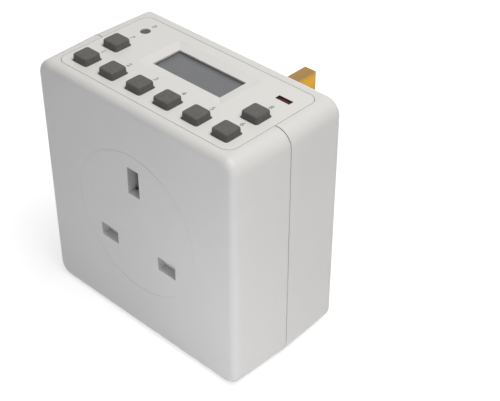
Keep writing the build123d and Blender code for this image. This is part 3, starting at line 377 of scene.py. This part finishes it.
def make_finishes(colours):
    """Every finish of the timer, by name."""
    steel = (0.52, 0.52, 0.51)
    brass = tuple(colours.brass)
    sheet_brass = (0.70, 0.53, 0.22)
    return {
        "case": finish(
            "satin white case", tuple(colours.case), 0.40, uneven=0.012, patch=30, grain=2200, relief=0.012,
            scuff=0.05, scuff_colour=(0.55, 0.54, 0.51), sockets={"Specular IOR Level": 0.45},
            # painted shade: the walls inside the front's slots greyed where shade falls in them
            painted_light_boxes=((*LINE_SLOTS, (0.54, 0.54, 0.54)), (*EARTH_SLOT, (0.54, 0.53, 0.53))),
        ),
        "panel": finish(
            "satin white panel", tuple(colours.panel), 0.42, uneven=0.012, patch=40, grain=3000, relief=0.010,
            scuff=0.04, scuff_colour=(0.56, 0.55, 0.52), sockets={"Specular IOR Level": 0.42},
            # painted shade near black on the walls of the lamp's hole, with a painted red reflection of the
            # lamp in its middle
            painted_light_boxes=((*LAMP_HOLE, PAINTED_SHADE), (*RED_REFLECTION_WALLS, PAINTED_RED_REFLECTION)),
        ),
        "key": finish(
            "soft grey rubber", tuple(colours.key), 0.66, uneven=0.12, patch=1100, grain=3600, relief=0.030,
            scuff=0.22, scuff_colour=(0.20, 0.20, 0.195), sockets={"Specular IOR Level": 0.30},
        ),
        "mat": finish(
            "grey silicone", toned(tuple(colours.key), 1.2), 0.58, uneven=0.07, patch=120, grain=4200,
            relief=0.015, sockets={"Subsurface Weight": 0.05, "Subsurface Radius": (0.001, 0.001, 0.001)},
        ),
        "display": finish(
            "liquid crystal glass", tuple(colours.display), 0.24, uneven=0.04, patch=55, grain=700,
            relief=0.0003, sockets={"Specular IOR Level": 0.35},
        ),
        "lens": finish(
            "clear window", (0.55, 0.57, 0.58), 0.08, uneven=0.01, patch=90, grain=600, relief=0.0005,
            sockets={"Alpha": 0.10, "Specular IOR Level": 0.5},
        ),
        "lamp": finish(
            "dark red lamp", tuple(colours.lamp), 0.45, uneven=0.25, patch=420, grain=1800, relief=0.004,
            sockets={"Specular IOR Level": 0.12},
            # painted shade: the lamp fades from red to near black towards both ends
            painted_shade_tints=[("X", *fade, PAINTED_SHADE) for fade in LAMP_SHADE_FADES],
        ),
        "pin": finish(
            "drawn brass", brass, 0.30, metal=1.0, uneven=0.10, patch=70, grain=900, relief=0.012,
            stretch=(3.0, 0.25, 3.0), scuff=0.30, scuff_colour=tuple(colours.tarnish_and_shade),
            # painted shade: the earth pin browned along its upper edge and at its tip; the scuffs in the same
            # brown are wear
            painted_shade_tints=[
                ("Z", PIN_HIGH.z - TOP_SHADE_BAND, PIN_HIGH.z, tuple(colours.tarnish_and_shade)),
                ("Y", PIN_HIGH.y - TIP_SHADE_BAND, PIN_HIGH.y, tuple(colours.tarnish_and_shade)),
            ],
        ),
        "contact": finish(
            "rolled brass sheet", sheet_brass, 0.34, metal=1.0, uneven=0.08, patch=90, grain=1100,
            relief=0.008, stretch=(1.0, 0.3, 1.0), scuff=0.18, scuff_colour=(0.40, 0.28, 0.12),
        ),
        "steel": finish(
            "zinc plated steel", steel, 0.33, metal=1.0, uneven=0.10, patch=180, grain=2400, relief=0.008,
            scuff=0.25, scuff_colour=(0.36, 0.35, 0.33),
        ),
        "wire": finish(
            "spring wire", (0.48, 0.48, 0.48), 0.26, metal=1.0, uneven=0.12, patch=300, grain=3000,
            relief=0.004,
        ),
        "frame": finish(
            "white frame moulding", (0.72, 0.72, 0.69), 0.46, uneven=0.03, patch=60, relief=0.012,
        ),
        # painted shade: the socket carrier coloured grey so that its guides read darker inside the slots
        "carrier": finish("grey moulding", (0.42, 0.41, 0.41), 0.50, uneven=0.05, patch=50, relief=0.014),
        "shutter": finish(
            "white shutter moulding", (0.86, 0.86, 0.85), 0.42, uneven=0.03, patch=300, relief=0.012,
            scuff=0.15, scuff_colour=(0.42, 0.41, 0.40),
        ),
        "sleeve": finish(
            "black pin sleeve", (0.022, 0.022, 0.023), 0.44, uneven=0.10, patch=120, relief=0.010,
            scuff=0.20, scuff_colour=(0.06, 0.06, 0.06),
        ),
        "black": finish("black moulding", (0.026, 0.026, 0.027), 0.50, uneven=0.10, patch=140, relief=0.018),
        "board": finish(
            "green board", tuple(colours.board), 0.34, uneven=0.10, patch=130, grain=1400, relief=0.010,
            bands=("X", 95.0, (0.05, 0.24, 0.10), 0.72), sockets={"Coat Weight": 0.2},
        ),
        "can": finish(
            "bright drawn can", (0.66, 0.66, 0.65), 0.24, metal=1.0, uneven=0.06, patch=150, grain=1500,
            relief=0.004, stretch=(1.0, 1.0, 0.3),
        ),
        "coil": finish(
            "enamelled winding", (0.52, 0.17, 0.06), 0.28, metal=0.8, uneven=0.10, patch=200,
            bands=("Z", 900.0, (0.30, 0.09, 0.03), 0.55),
        ),
        "relay": finish(
            "blue relay cover", (0.030, 0.085, 0.27), 0.30, uneven=0.05, patch=110, relief=0.012,
            scuff=0.08, scuff_colour=(0.10, 0.16, 0.32),
        ),
        "dropper": finish(
            "yellow capacitor case", (0.66, 0.45, 0.05), 0.34, uneven=0.04, patch=110, relief=0.010,
        ),
        "smoothing": finish(
            "sleeved capacitor can", (0.018, 0.022, 0.05), 0.30, uneven=0.06, patch=90,
            bands=("X", 38.0, (0.30, 0.31, 0.34), 0.93),
        ),
        "surge": finish("dipped blue disc", (0.030, 0.10, 0.26), 0.38, uneven=0.10, patch=260, relief=0.030),
        "strip": finish(
            "striped connector rubber", (0.045, 0.045, 0.05), 0.60, uneven=0.06,
            bands=("X", 1300.0, (0.26, 0.24, 0.28), 0.5),
        ),
        "ribbon": finish(
            "grey ribbon", (0.33, 0.33, 0.34), 0.48, uneven=0.04,
            bands=("X", 410.0, (0.18, 0.18, 0.19), 0.85),
        ),
        "ink": finish("grey printed ink", tuple(colours.marks), 0.65, uneven=0.10, patch=900, grain=6000),
    }


NODE_FINISH = {
    "case": ("front_shell", "rear_shell"),
    "panel": ("control_panel",),
    "display": ("lcd_glass",),
    "lens": ("display_window",),
    "pin": ("earth_pin", "live_pin", "neutral_pin"),
    "contact": (
        "earth_contact", "live_contact", "neutral_contact", "earth_strap", "neutral_strap", "live_feed_strap",
        "live_switched_strap", "relay_contact_spring", "relay_fixed_contact",
    ),
    "steel": (
        "panel_screws", "pin_clamp_screws", "case_screws", "carrier_screws", "power_board_screws",
        "relay_yoke", "relay_core", "relay_armature",
    ),
    "frame": ("lcd_frame",),
    "carrier": ("socket_carrier",),
    "shutter": ("socket_shutter",),
    "sleeve": ("live_pin_sleeve", "neutral_pin_sleeve"),
    "black": ("pin_clamp", "controller_chip", "relay_base", "rectifier_diodes", "reset_switch"),
    "board": ("control_board", "power_board"),
    "can": ("timing_crystal", "standby_battery"),
    "coil": ("relay_coil",),
    "relay": ("relay_cover",),
    "dropper": ("dropper_capacitor",),
    "smoothing": ("smoothing_capacitor",),
    "surge": ("surge_disc",),
    "strip": ("lcd_connector_strips",),
    "ribbon": ("board_link",),
    "key": tuple("key_" + key for key in KEYS) + ("reset_button",),
    "mat": ("keypad_mat",),
    "lamp": ("indicator_led",),
    "wire": ("shutter_spring",),
}
FINISHES = {}


def paint_nodes(*names):
    """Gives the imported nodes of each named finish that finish."""
    for name in names:
        for node in NODE_FINISH[name]:
            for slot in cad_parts[node].material_slots:
                slot.material = FINISHES[name]


# Shapes

def finished_piece(name, mesh_builder, material, body, replaced=(), sharp_degrees=35):
    """Turns a filled bmesh into a piece that rides on a body."""
    bmesh.ops.recalc_face_normals(mesh_builder, faces=mesh_builder.faces[:])
    mesh = bpy.data.meshes.new(name)
    mesh_builder.to_mesh(mesh)
    mesh_builder.free()
    mesh.shade_smooth()
    mesh.set_sharp_from_angle(angle=math.radians(sharp_degrees))
    mesh.materials.append(material)
    piece = bpy.data.objects.new(name, mesh)
    bpy.context.scene.collection.objects.link(piece)
    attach(piece, body)
    if replaced:
        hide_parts(*replaced)
    return piece


def upright_edges(mesh_builder, edges):
    """Those of the edges that stand upright."""
    return [e for e in edges if abs(e.verts[0].co.z - e.verts[1].co.z) > max(
        abs(e.verts[0].co.x - e.verts[1].co.x), abs(e.verts[0].co.y - e.verts[1].co.y))]


def square_block(mesh_builder, centre, width, depth, low, high):
    """Upright block with square corners. Returns its vertices."""
    made = bmesh.ops.create_cube(mesh_builder, size=1.0)["verts"]
    bmesh.ops.scale(mesh_builder, vec=(width, depth, high - low), verts=made)
    bmesh.ops.translate(mesh_builder, vec=(centre.x, centre.y, (low + high) / 2), verts=made)
    return made


def upright_rod(mesh_builder, centre, radius, low, high, segments):
    """Upright rod with closed ends."""
    bmesh.ops.create_cone(
        mesh_builder, cap_ends=True, segments=segments, radius1=radius, radius2=radius, depth=high - low,
        matrix=Matrix.Translation((centre.x, centre.y, (low + high) / 2)),
    )


def rounded_block(mesh_builder, centre, width, depth, low, high, corner, segments=5):
    """Upright block with rounded corners. Returns its top face."""
    made = square_block(mesh_builder, centre, width, depth, low, high)
    edges = {e for v in made for e in v.link_edges}
    bmesh.ops.bevel(
        mesh_builder, geom=upright_edges(mesh_builder, edges), offset=corner, offset_type="OFFSET",
        segments=segments, profile=EVEN_CURVE, affect="EDGES", material=NO_MATERIAL,
    )
    return top_face(mesh_builder)


def top_face(mesh_builder):
    """The highest face that looks up."""
    mesh_builder.normal_update()
    level = [f for f in mesh_builder.faces if f.normal.z > LEVEL]
    return max(level, key=lambda f: (round(f.calc_center_median().z, LEVEL_DECIMALS), f.calc_area()))


def raised(mesh_builder, face, rise, across, along=None):
    """Extrudes a level face upward and scales it about its middle. Returns the new top face."""
    centre = face.calc_center_median()
    made = bmesh.ops.extrude_face_region(mesh_builder, geom=[face])["geom"]
    verts = [g for g in made if isinstance(g, bmesh.types.BMVert)]
    bmesh.ops.translate(mesh_builder, vec=(0, 0, rise), verts=verts)
    bmesh.ops.scale(
        mesh_builder, vec=(across, along or across, 1.0), space=Matrix.Translation(-centre), verts=verts
    )
    return [g for g in made if isinstance(g, bmesh.types.BMFace)][0]


def rounded_over(mesh_builder, face, radius, width, depth, segments=5):
    """Rounds the edge above a level face in a quarter turn. Returns the new top face."""
    before = 0.0
    for step in range(1, segments + 1):
        turn = step / segments * math.pi / 2
        cut_before = 2 * radius * (1 - math.cos(before))
        cut = 2 * radius * (1 - math.cos(turn))
        face = raised(
            mesh_builder, face, radius * (math.sin(turn) - math.sin(before)),
            (width - cut) / (width - cut_before), (depth - cut) / (depth - cut_before),
        )
        before = turn
    return face


def crowned(mesh_builder, face, height, rings=5):
    """Lifts the middle of a level face into a shallow crown, or sinks it into a dish."""
    before = 1.0
    for ring in range(1, rings + 1):
        share = 1 - ring / (rings + CROWN_GAP)
        face = raised(mesh_builder, face, height * (before ** 2 - share ** 2), share / before)
        before = share


def thickened(mesh_builder, thickness):
    """Gives the flat sheet in a bmesh its thickness, upward."""
    made = bmesh.ops.extrude_face_region(mesh_builder, geom=mesh_builder.faces[:], use_keep_orig=True)["geom"]
    lifted = [g for g in made if isinstance(g, bmesh.types.BMVert)]
    bmesh.ops.translate(mesh_builder, vec=(0, 0, thickness), verts=lifted)


def model_key(name, shape):
    """One soft key: head with a flared foot, plunger and contact pill under it."""
    low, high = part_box("key_" + name)
    centre = (low + high) / 2
    level = high.z - shape.rise * MM
    builder = bmesh.new()
    foot = shape.foot * MM
    face = rounded_block(
        builder, centre, foot, foot, level - shape.sink * MM, level - OVERLAP, shape.corner * MM
    )
    middle_width = (shape.foot + shape.waist) / 2 - FLARE_SWELL
    widths = (shape.foot, FLARE_START * shape.foot, middle_width, shape.waist)
    for share, below, above in zip(FLARE_SHARES, widths, widths[1:]):
        face = raised(builder, face, share * shape.flare * MM, above / below)
    wall = shape.rise - shape.flare - shape.edge - shape.crown
    face = raised(builder, face, wall * MM, shape.top / shape.waist)
    face = rounded_over(builder, face, shape.edge * MM, shape.top * MM, shape.top * MM)
    crowned(builder, face, shape.crown * MM)
    plunger = shape.plunger * MM
    pill_top = low.z + shape.pill * MM
    square_block(builder, centre, plunger, plunger, pill_top, level - shape.sink * MM + OVERLAP)
    upright_rod(builder, centre, plunger / 2, low.z, pill_top + PILL_OVERLAP, PILL_STEPS)
    finished_piece(
        "soft_key_" + name, builder, FINISHES["key"], "key_" + name, ["key_" + name], 40
    )


def model_web(name, shape):
    """Sloping web between the mat and one key."""
    low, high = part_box("key_" + name)
    centre = (low + high) / 2
    foot_level = MAT_LOW.z + shape.thickness * MM
    builder = bmesh.new()
    foot = shape.web_foot * MM
    face = rounded_block(builder, centre, foot, foot, foot_level, foot_level + WEB_LIP, WEB_CORNER)
    height = MAT_HIGH.z - foot_level
    face = raised(builder, face, height - 2 * WEB_LIP, shape.web_top / shape.web_foot)
    raised(builder, face, WEB_LIP, 1.0)
    caps = [f for f in builder.faces if abs(f.normal.z) > LEVEL]
    bmesh.ops.delete(builder, geom=caps, context="FACES_ONLY")
    bmesh.ops.recalc_face_normals(builder, faces=builder.faces[:])
    bmesh.ops.solidify(builder, geom=builder.faces[:], thickness=shape.web_wall * MM)
    web = finished_piece("key_web_" + name, builder, FINISHES["mat"], "case")
    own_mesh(web)


def model_mat(shape):
    """The mat's sheet on the board, with an opening under each key."""
    centres = [sum(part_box("key_" + name), Vector()) / 2 for name in KEYS]
    half_hole = (shape.web_foot / 2 - shape.web_wall) * MM
    front_rows = [c for c in centres if c.y < min(p.y for p in centres) + MM]
    end_rows = [c for c in centres if c not in front_rows]
    margin = (shape.web_foot / 2 + WEB_MARGIN) * MM
    strip_rear = front_rows[0].y + margin
    pad_edge = min(abs(c.x) for c in end_rows) - margin
    builder = bmesh.new()
    made = bmesh.ops.create_grid(builder, x_segments=1, y_segments=1, size=0.5)["verts"]
    size = MAT_HIGH - MAT_LOW
    middle = (MAT_HIGH + MAT_LOW) / 2
    bmesh.ops.scale(builder, vec=(size.x, size.y, 1), verts=made)
    bmesh.ops.translate(builder, vec=(middle.x, middle.y, MAT_LOW.z), verts=made)
    edges = [c + Vector((side, side, 0)) * half_hole for c in centres for side in (-1, 1)]
    cuts_x = {round(edge.x, CUT_DECIMALS) for edge in edges} | {-pad_edge, pad_edge}
    cuts_y = {round(edge.y, CUT_DECIMALS) for edge in edges} | {strip_rear}
    for normal, cuts in (((1, 0, 0), cuts_x), ((0, 1, 0), cuts_y)):
        for cut in sorted(cuts):
            bmesh.ops.bisect_plane(
                builder, geom=builder.verts[:] + builder.edges[:] + builder.faces[:],
                plane_co=Vector(normal) * cut, plane_no=normal,
            )
    gone = []
    for face in builder.faces:
        spot = face.calc_center_median()
        in_hole = any(abs(spot.x - c.x) < half_hole and abs(spot.y - c.y) < half_hole for c in centres)
        outside = spot.y > strip_rear and abs(spot.x) < pad_edge
        if in_hole or outside:
            gone.append(face)
    bmesh.ops.delete(builder, geom=gone, context="FACES")
    thickened(builder, shape.thickness * MM)
    finished_piece("keypad_sheet", builder, FINISHES["mat"], "case", ["keypad_mat"])


def model_reset():
    """Reset: round plunger with a slightly sunk top and a retaining flange."""
    centre = (RESET_LOW + RESET_HIGH) / 2
    flange_radius = (RESET_HIGH.x - RESET_LOW.x) / 2
    flange_high = PANEL_TOP - RESET_FLANGE_DROP
    builder = bmesh.new()
    upright_rod(builder, centre, RESET_RADIUS, RESET_LOW.z, RESET_HIGH.z - RESET_EDGE, ROUND_STEPS)
    face = rounded_over(builder, top_face(builder), RESET_EDGE, 2 * RESET_RADIUS, 2 * RESET_RADIUS)
    crowned(builder, face, -RESET_DISH)
    upright_rod(builder, centre, flange_radius, flange_high - RESET_FLANGE, flange_high, ROUND_STEPS)
    finished_piece(
        "reset_plunger", builder, FINISHES["key"], "reset_button", ["reset_button"], 40
    )


def model_lamp():
    """Indicator: lamp with rounded upper edges, standing on its flange."""
    centre = (LAMP_LOW + LAMP_HIGH) / 2
    builder = bmesh.new()
    face = rounded_block(
        builder, centre, LAMP_WIDTH, LAMP_DEPTH, LAMP_LOW.z, LAMP_HIGH.z - LAMP_EDGE, LAMP_CORNER, 3
    )
    rounded_over(builder, face, LAMP_EDGE, LAMP_WIDTH, LAMP_DEPTH)
    square_block(builder, centre, *LAMP_FLANGE, LAMP_LOW.z, LAMP_LOW.z + LAMP_FLANGE_THICKNESS)
    finished_piece(
        "lamp_lens", builder, FINISHES["lamp"], "case", ["indicator_led"], 40
    )


def model_spring(shape):
    """Shutter spring: one wire with a closed turn at each end, spun up its axis."""
    centre = (SPRING_LOW + SPRING_HIGH) / 2
    wire = shape.wire * MM / 2
    radius = (SPRING_HIGH.x - SPRING_LOW.x) / 2 - wire
    rise = SPRING_HIGH.z - SPRING_LOW.z - 2 * wire
    closed = CLOSED_PITCH * wire
    pitches = [(1, closed), (shape.turns, (rise - 2 * closed) / shape.turns), (1, closed)]
    builder = bmesh.new()
    start = Matrix.Translation((centre.x + radius, centre.y, SPRING_LOW.z + wire))
    ring = bmesh.ops.create_circle(
        builder, cap_ends=False, segments=WIRE_STEPS, radius=wire,
        matrix=start @ Matrix.Rotation(math.pi / 2, 4, "X"),
    )["verts"]
    geometry = ring + list({e for v in ring for e in v.link_edges})
    first = geometry
    for turns, pitch in pitches:
        steps = turns * shape.steps
        geometry = bmesh.ops.spin(
            builder, geom=geometry, cent=centre, axis=(0, 0, 1), dvec=(0, 0, pitch / shape.steps),
            angle=turns * 2 * math.pi, steps=steps, use_merge=False, use_duplicate=False,
        )["geom_last"]
    for end in (first, geometry):
        edges = [g for g in end if isinstance(g, bmesh.types.BMEdge)]
        bmesh.ops.holes_fill(builder, edges=edges, sides=0)
    bmesh.ops.remove_doubles(builder, verts=builder.verts[:], dist=SAME_PLACE)
    spring = finished_piece(
        "shutter_coil", builder, FINISHES["wire"], "case", ["shutter_spring"], 60
    )
    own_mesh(spring)


def print_mark(text, piece, offset, shape):
    """Plain numeral printed on the panel behind a key or the reset."""
    low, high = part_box(piece)
    curve = bpy.data.curves.new("numeral_" + text, "FONT")
    curve.body = text
    curve.offset = shape.weight / shape.height * DIGIT_SHARE
    curve.resolution_u = shape.steps
    curve.align_x = "CENTER"
    curve.align_y = "CENTER"
    source = bpy.data.objects.new("numeral_source", curve)
    bpy.context.scene.collection.objects.link(source)
    bpy.context.view_layer.update()
    mesh = bpy.data.meshes.new_from_object(source.evaluated_get(bpy.context.evaluated_depsgraph_get()))
    bpy.data.objects.remove(source)
    spot = Vector(((low.x + high.x) / 2, (low.y + high.y) / 2 + offset * MM, PANEL_TOP))
    mesh.transform(Matrix.Translation(spot) @ Matrix.Scale(shape.height * MM / DIGIT_SHARE, 4))
    builder = bmesh.new()
    builder.from_mesh(mesh)
    bpy.data.meshes.remove(mesh)
    thickened(builder, shape.ink * MM)
    finished_piece("numeral_" + text, builder, FINISHES["ink"], "case")


# Operators, one for each piece or group of like pieces

class TimerOperator:
    """What every operator of the timer shares."""

    bl_options = {"REGISTER", "UNDO"}

    def execute(self, context):
        if not FINISHES:
            FINISHES.update(make_finishes(context.scene.timer_colours))
        self.make(context.scene)
        return {"FINISHED"}


class TIMER_OT_case(TimerOperator, bpy.types.Operator):
    """Finish the two case halves, the control panel and the moulded pieces inside"""

    bl_idname = "timer.case"
    bl_label = "Case and Panel"

    def make(self, scene):
        paint_nodes("case", "panel", "black", "carrier", "frame")


class TIMER_OT_plug(TimerOperator, bpy.types.Operator):
    """Finish the three plug pins and the sleeves of the line pins"""

    bl_idname = "timer.plug"
    bl_label = "Plug Pins"

    def make(self, scene):
        paint_nodes("pin", "sleeve")


class TIMER_OT_socket(TimerOperator, bpy.types.Operator):
    """Finish the shutter, contacts and straps"""

    bl_idname = "timer.socket"
    bl_label = "Socket"

    def make(self, scene):
        paint_nodes("shutter", "contact")


class TIMER_OT_fixings(TimerOperator, bpy.types.Operator):
    """Finish the screws and the steel of the relay"""

    bl_idname = "timer.fixings"
    bl_label = "Screws and Steel"

    def make(self, scene):
        paint_nodes("steel")


class TIMER_OT_boards(TimerOperator, bpy.types.Operator):
    """Finish both circuit boards and what they carry"""

    bl_idname = "timer.boards"
    bl_label = "Boards"

    def make(self, scene):
        paint_nodes("board", "can", "coil", "relay", "dropper", "smoothing", "surge", "ribbon")


class TIMER_OT_display(TimerOperator, bpy.types.Operator):
    """Finish the display's window, glass and connector strips"""

    bl_idname = "timer.display"
    bl_label = "Display"

    def make(self, scene):
        paint_nodes("display", "lens", "strip")


class TIMER_OT_keys(TimerOperator, bpy.types.Operator):
    """Model the eight soft keys"""

    bl_idname = "timer.keys"
    bl_label = "Keys"

    def make(self, scene):
        paint_nodes("key")
        for name in KEYS:
            model_key(name, scene.timer_key)


class TIMER_OT_mat(TimerOperator, bpy.types.Operator):
    """Model the keypad mat and the web under each key"""

    bl_idname = "timer.mat"
    bl_label = "Keypad Mat"

    def make(self, scene):
        paint_nodes("mat")
        model_mat(scene.timer_mat)
        for name in KEYS:
            model_web(name, scene.timer_mat)


class TIMER_OT_reset(TimerOperator, bpy.types.Operator):
    """Model the round reset button"""

    bl_idname = "timer.reset"
    bl_label = "Reset"

    def make(self, scene):
        model_reset()


class TIMER_OT_lamp(TimerOperator, bpy.types.Operator):
    """Model the indicator lamp"""

    bl_idname = "timer.lamp"
    bl_label = "Indicator Lamp"

    def make(self, scene):
        paint_nodes("lamp")
        model_lamp()


class TIMER_OT_spring(TimerOperator, bpy.types.Operator):
    """Model the shutter's spring with closed ends"""

    bl_idname = "timer.spring"
    bl_label = "Shutter Spring"

    def make(self, scene):
        paint_nodes("wire")
        model_spring(scene.timer_spring)


class TIMER_OT_marks(TimerOperator, bpy.types.Operator):
    """Print a plain numeral behind the reset and behind each key"""

    bl_idname = "timer.marks"
    bl_label = "Numerals"

    def make(self, scene):
        marks = scene.timer_marks
        print_mark("0", "reset_button", marks.reset_offset, marks)
        for index, name in enumerate(KEYS):
            print_mark(str(index + 1), "key_" + name, marks.key_offset, marks)


def area_lamp(name, place, size, power, tint):
    """Soft rectangular lamp aimed at the timer."""
    light = bpy.data.lights.new(name, "AREA")
    light.shape = "RECTANGLE"
    light.size, light.size_y = size
    light.energy = power
    light.color = tint
    lamp = bpy.data.objects.new(name, light)
    lamp.location = place
    lamp.rotation_euler = (AIM - Vector(place)).to_track_quat("-Z", "Y").to_euler()
    bpy.context.scene.collection.objects.link(lamp)


def bright_for_camera(tree, shader, strength):
    """Adds light that only the camera, gloss and glass see, so that a backdrop shows white."""
    path = add_node(tree, "ShaderNodeLightPath")
    seen = add_node(tree, "ShaderNodeMath", operation="MAXIMUM")
    either = add_node(tree, "ShaderNodeMath", operation="MAXIMUM")
    tree.links.new(path.outputs["Is Camera Ray"], seen.inputs[0])
    tree.links.new(path.outputs["Is Glossy Ray"], seen.inputs[1])
    tree.links.new(seen.outputs[0], either.inputs[0])
    tree.links.new(path.outputs["Is Transmission Ray"], either.inputs[1])
    glow = add_node(tree, "ShaderNodeEmission")
    glow.inputs["Strength"].default_value = strength
    dark = add_node(tree, "ShaderNodeEmission")
    dark.inputs["Strength"].default_value = 0.0
    choice = add_node(tree, "ShaderNodeMixShader")
    tree.links.new(either.outputs[0], choice.inputs[0])
    tree.links.new(dark.outputs[0], choice.inputs[1])
    tree.links.new(glow.outputs[0], choice.inputs[2])
    both = add_node(tree, "ShaderNodeAddShader")
    tree.links.new(shader, both.inputs[0])
    tree.links.new(choice.outputs[0], both.inputs[1])
    return both.outputs[0]


class TIMER_OT_stage(TimerOperator, bpy.types.Operator):
    """Lay the floor and set the lamps and the camera of the photograph's view"""

    bl_idname = "timer.stage"
    bl_label = "Stage"

    def make(self, scene):
        stage = scene.timer_stage
        builder = bmesh.new()
        bmesh.ops.create_grid(builder, x_segments=8, y_segments=8, size=stage.floor / 2)
        mesh = bpy.data.meshes.new("floor")
        builder.to_mesh(mesh)
        builder.free()
        material = finish(
            "pale floor", (0.80, 0.80, 0.80), 0.80, uneven=0.01, patch=3, grain=400, relief=0.02,
        )
        tree = material.node_tree
        output = tree.nodes["Material Output"]
        white = bright_for_camera(tree, tree.nodes["Principled BSDF"].outputs[0], FLOOR_GLOW)
        tree.links.new(white, output.inputs["Surface"])
        mesh.materials.append(material)
        floor = bpy.data.objects.new("floor", mesh)
        scene.collection.objects.link(floor)

        world = bpy.data.worlds.new("even sky")
        world.use_nodes = True
        scene.world = world
        tree = world.node_tree
        background = tree.nodes["Background"]
        background.inputs["Color"].default_value = SKY_TINT
        background.inputs["Strength"].default_value = stage.sky
        white = bright_for_camera(tree, background.outputs[0], SKY_GLOW)
        tree.links.new(white, tree.nodes["World Output"].inputs["Surface"])

        for setting, place, size, tint in LAMPS:
            area_lamp(setting + " lamp", place, size, getattr(stage, setting), tint)

        camera_data = bpy.data.cameras.new("photo camera")
        camera_data.sensor_width = SENSOR_WIDTH
        camera_data.lens = stage.lens
        camera = bpy.data.objects.new("photo camera", camera_data)
        camera.location = CAMERA_PLACE
        camera.rotation_euler = [math.radians(turn) for turn in CAMERA_TURN]
        scene.collection.objects.link(camera)
        scene.camera = camera
        scene.view_settings.view_transform = "Standard"


OPERATORS = (
    TIMER_OT_case, TIMER_OT_plug, TIMER_OT_socket, TIMER_OT_fixings, TIMER_OT_boards, TIMER_OT_display,
    TIMER_OT_keys, TIMER_OT_mat, TIMER_OT_reset, TIMER_OT_lamp, TIMER_OT_spring, TIMER_OT_marks,
    TIMER_OT_stage,
)


class TIMER_PT_pieces(bpy.types.Panel):
    """Lists the pieces of the timer and their settings."""

    bl_idname = "TIMER_PT_pieces"
    bl_label = "Timer Switch"
    bl_space_type = "VIEW_3D"
    bl_region_type = "UI"
    bl_category = "Timer Switch"

    def draw(self, context):
        for operator in OPERATORS:
            self.layout.operator(operator.bl_idname)
        for setting, group in SETTINGS.items():
            box = self.layout.box()
            for name in group.__annotations__:
                box.prop(getattr(context.scene, setting), name)


def register():
    for group in SETTINGS.values():
        bpy.utils.register_class(group)
    for operator in OPERATORS:
        bpy.utils.register_class(operator)
    bpy.utils.register_class(TIMER_PT_pieces)
    for setting, group in SETTINGS.items():
        setattr(bpy.types.Scene, setting, PointerProperty(type=group))


def unregister():
    for setting in SETTINGS:
        delattr(bpy.types.Scene, setting)
    bpy.utils.unregister_class(TIMER_PT_pieces)
    for operator in reversed(OPERATORS):
        bpy.utils.unregister_class(operator)
    for group in SETTINGS.values():
        bpy.utils.unregister_class(group)


def main():
    """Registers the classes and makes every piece."""
    register()
    for operator in OPERATORS:
        getattr(bpy.ops.timer, operator.bl_idname.split(".")[1])()


if __name__ == "__main__":
    main()
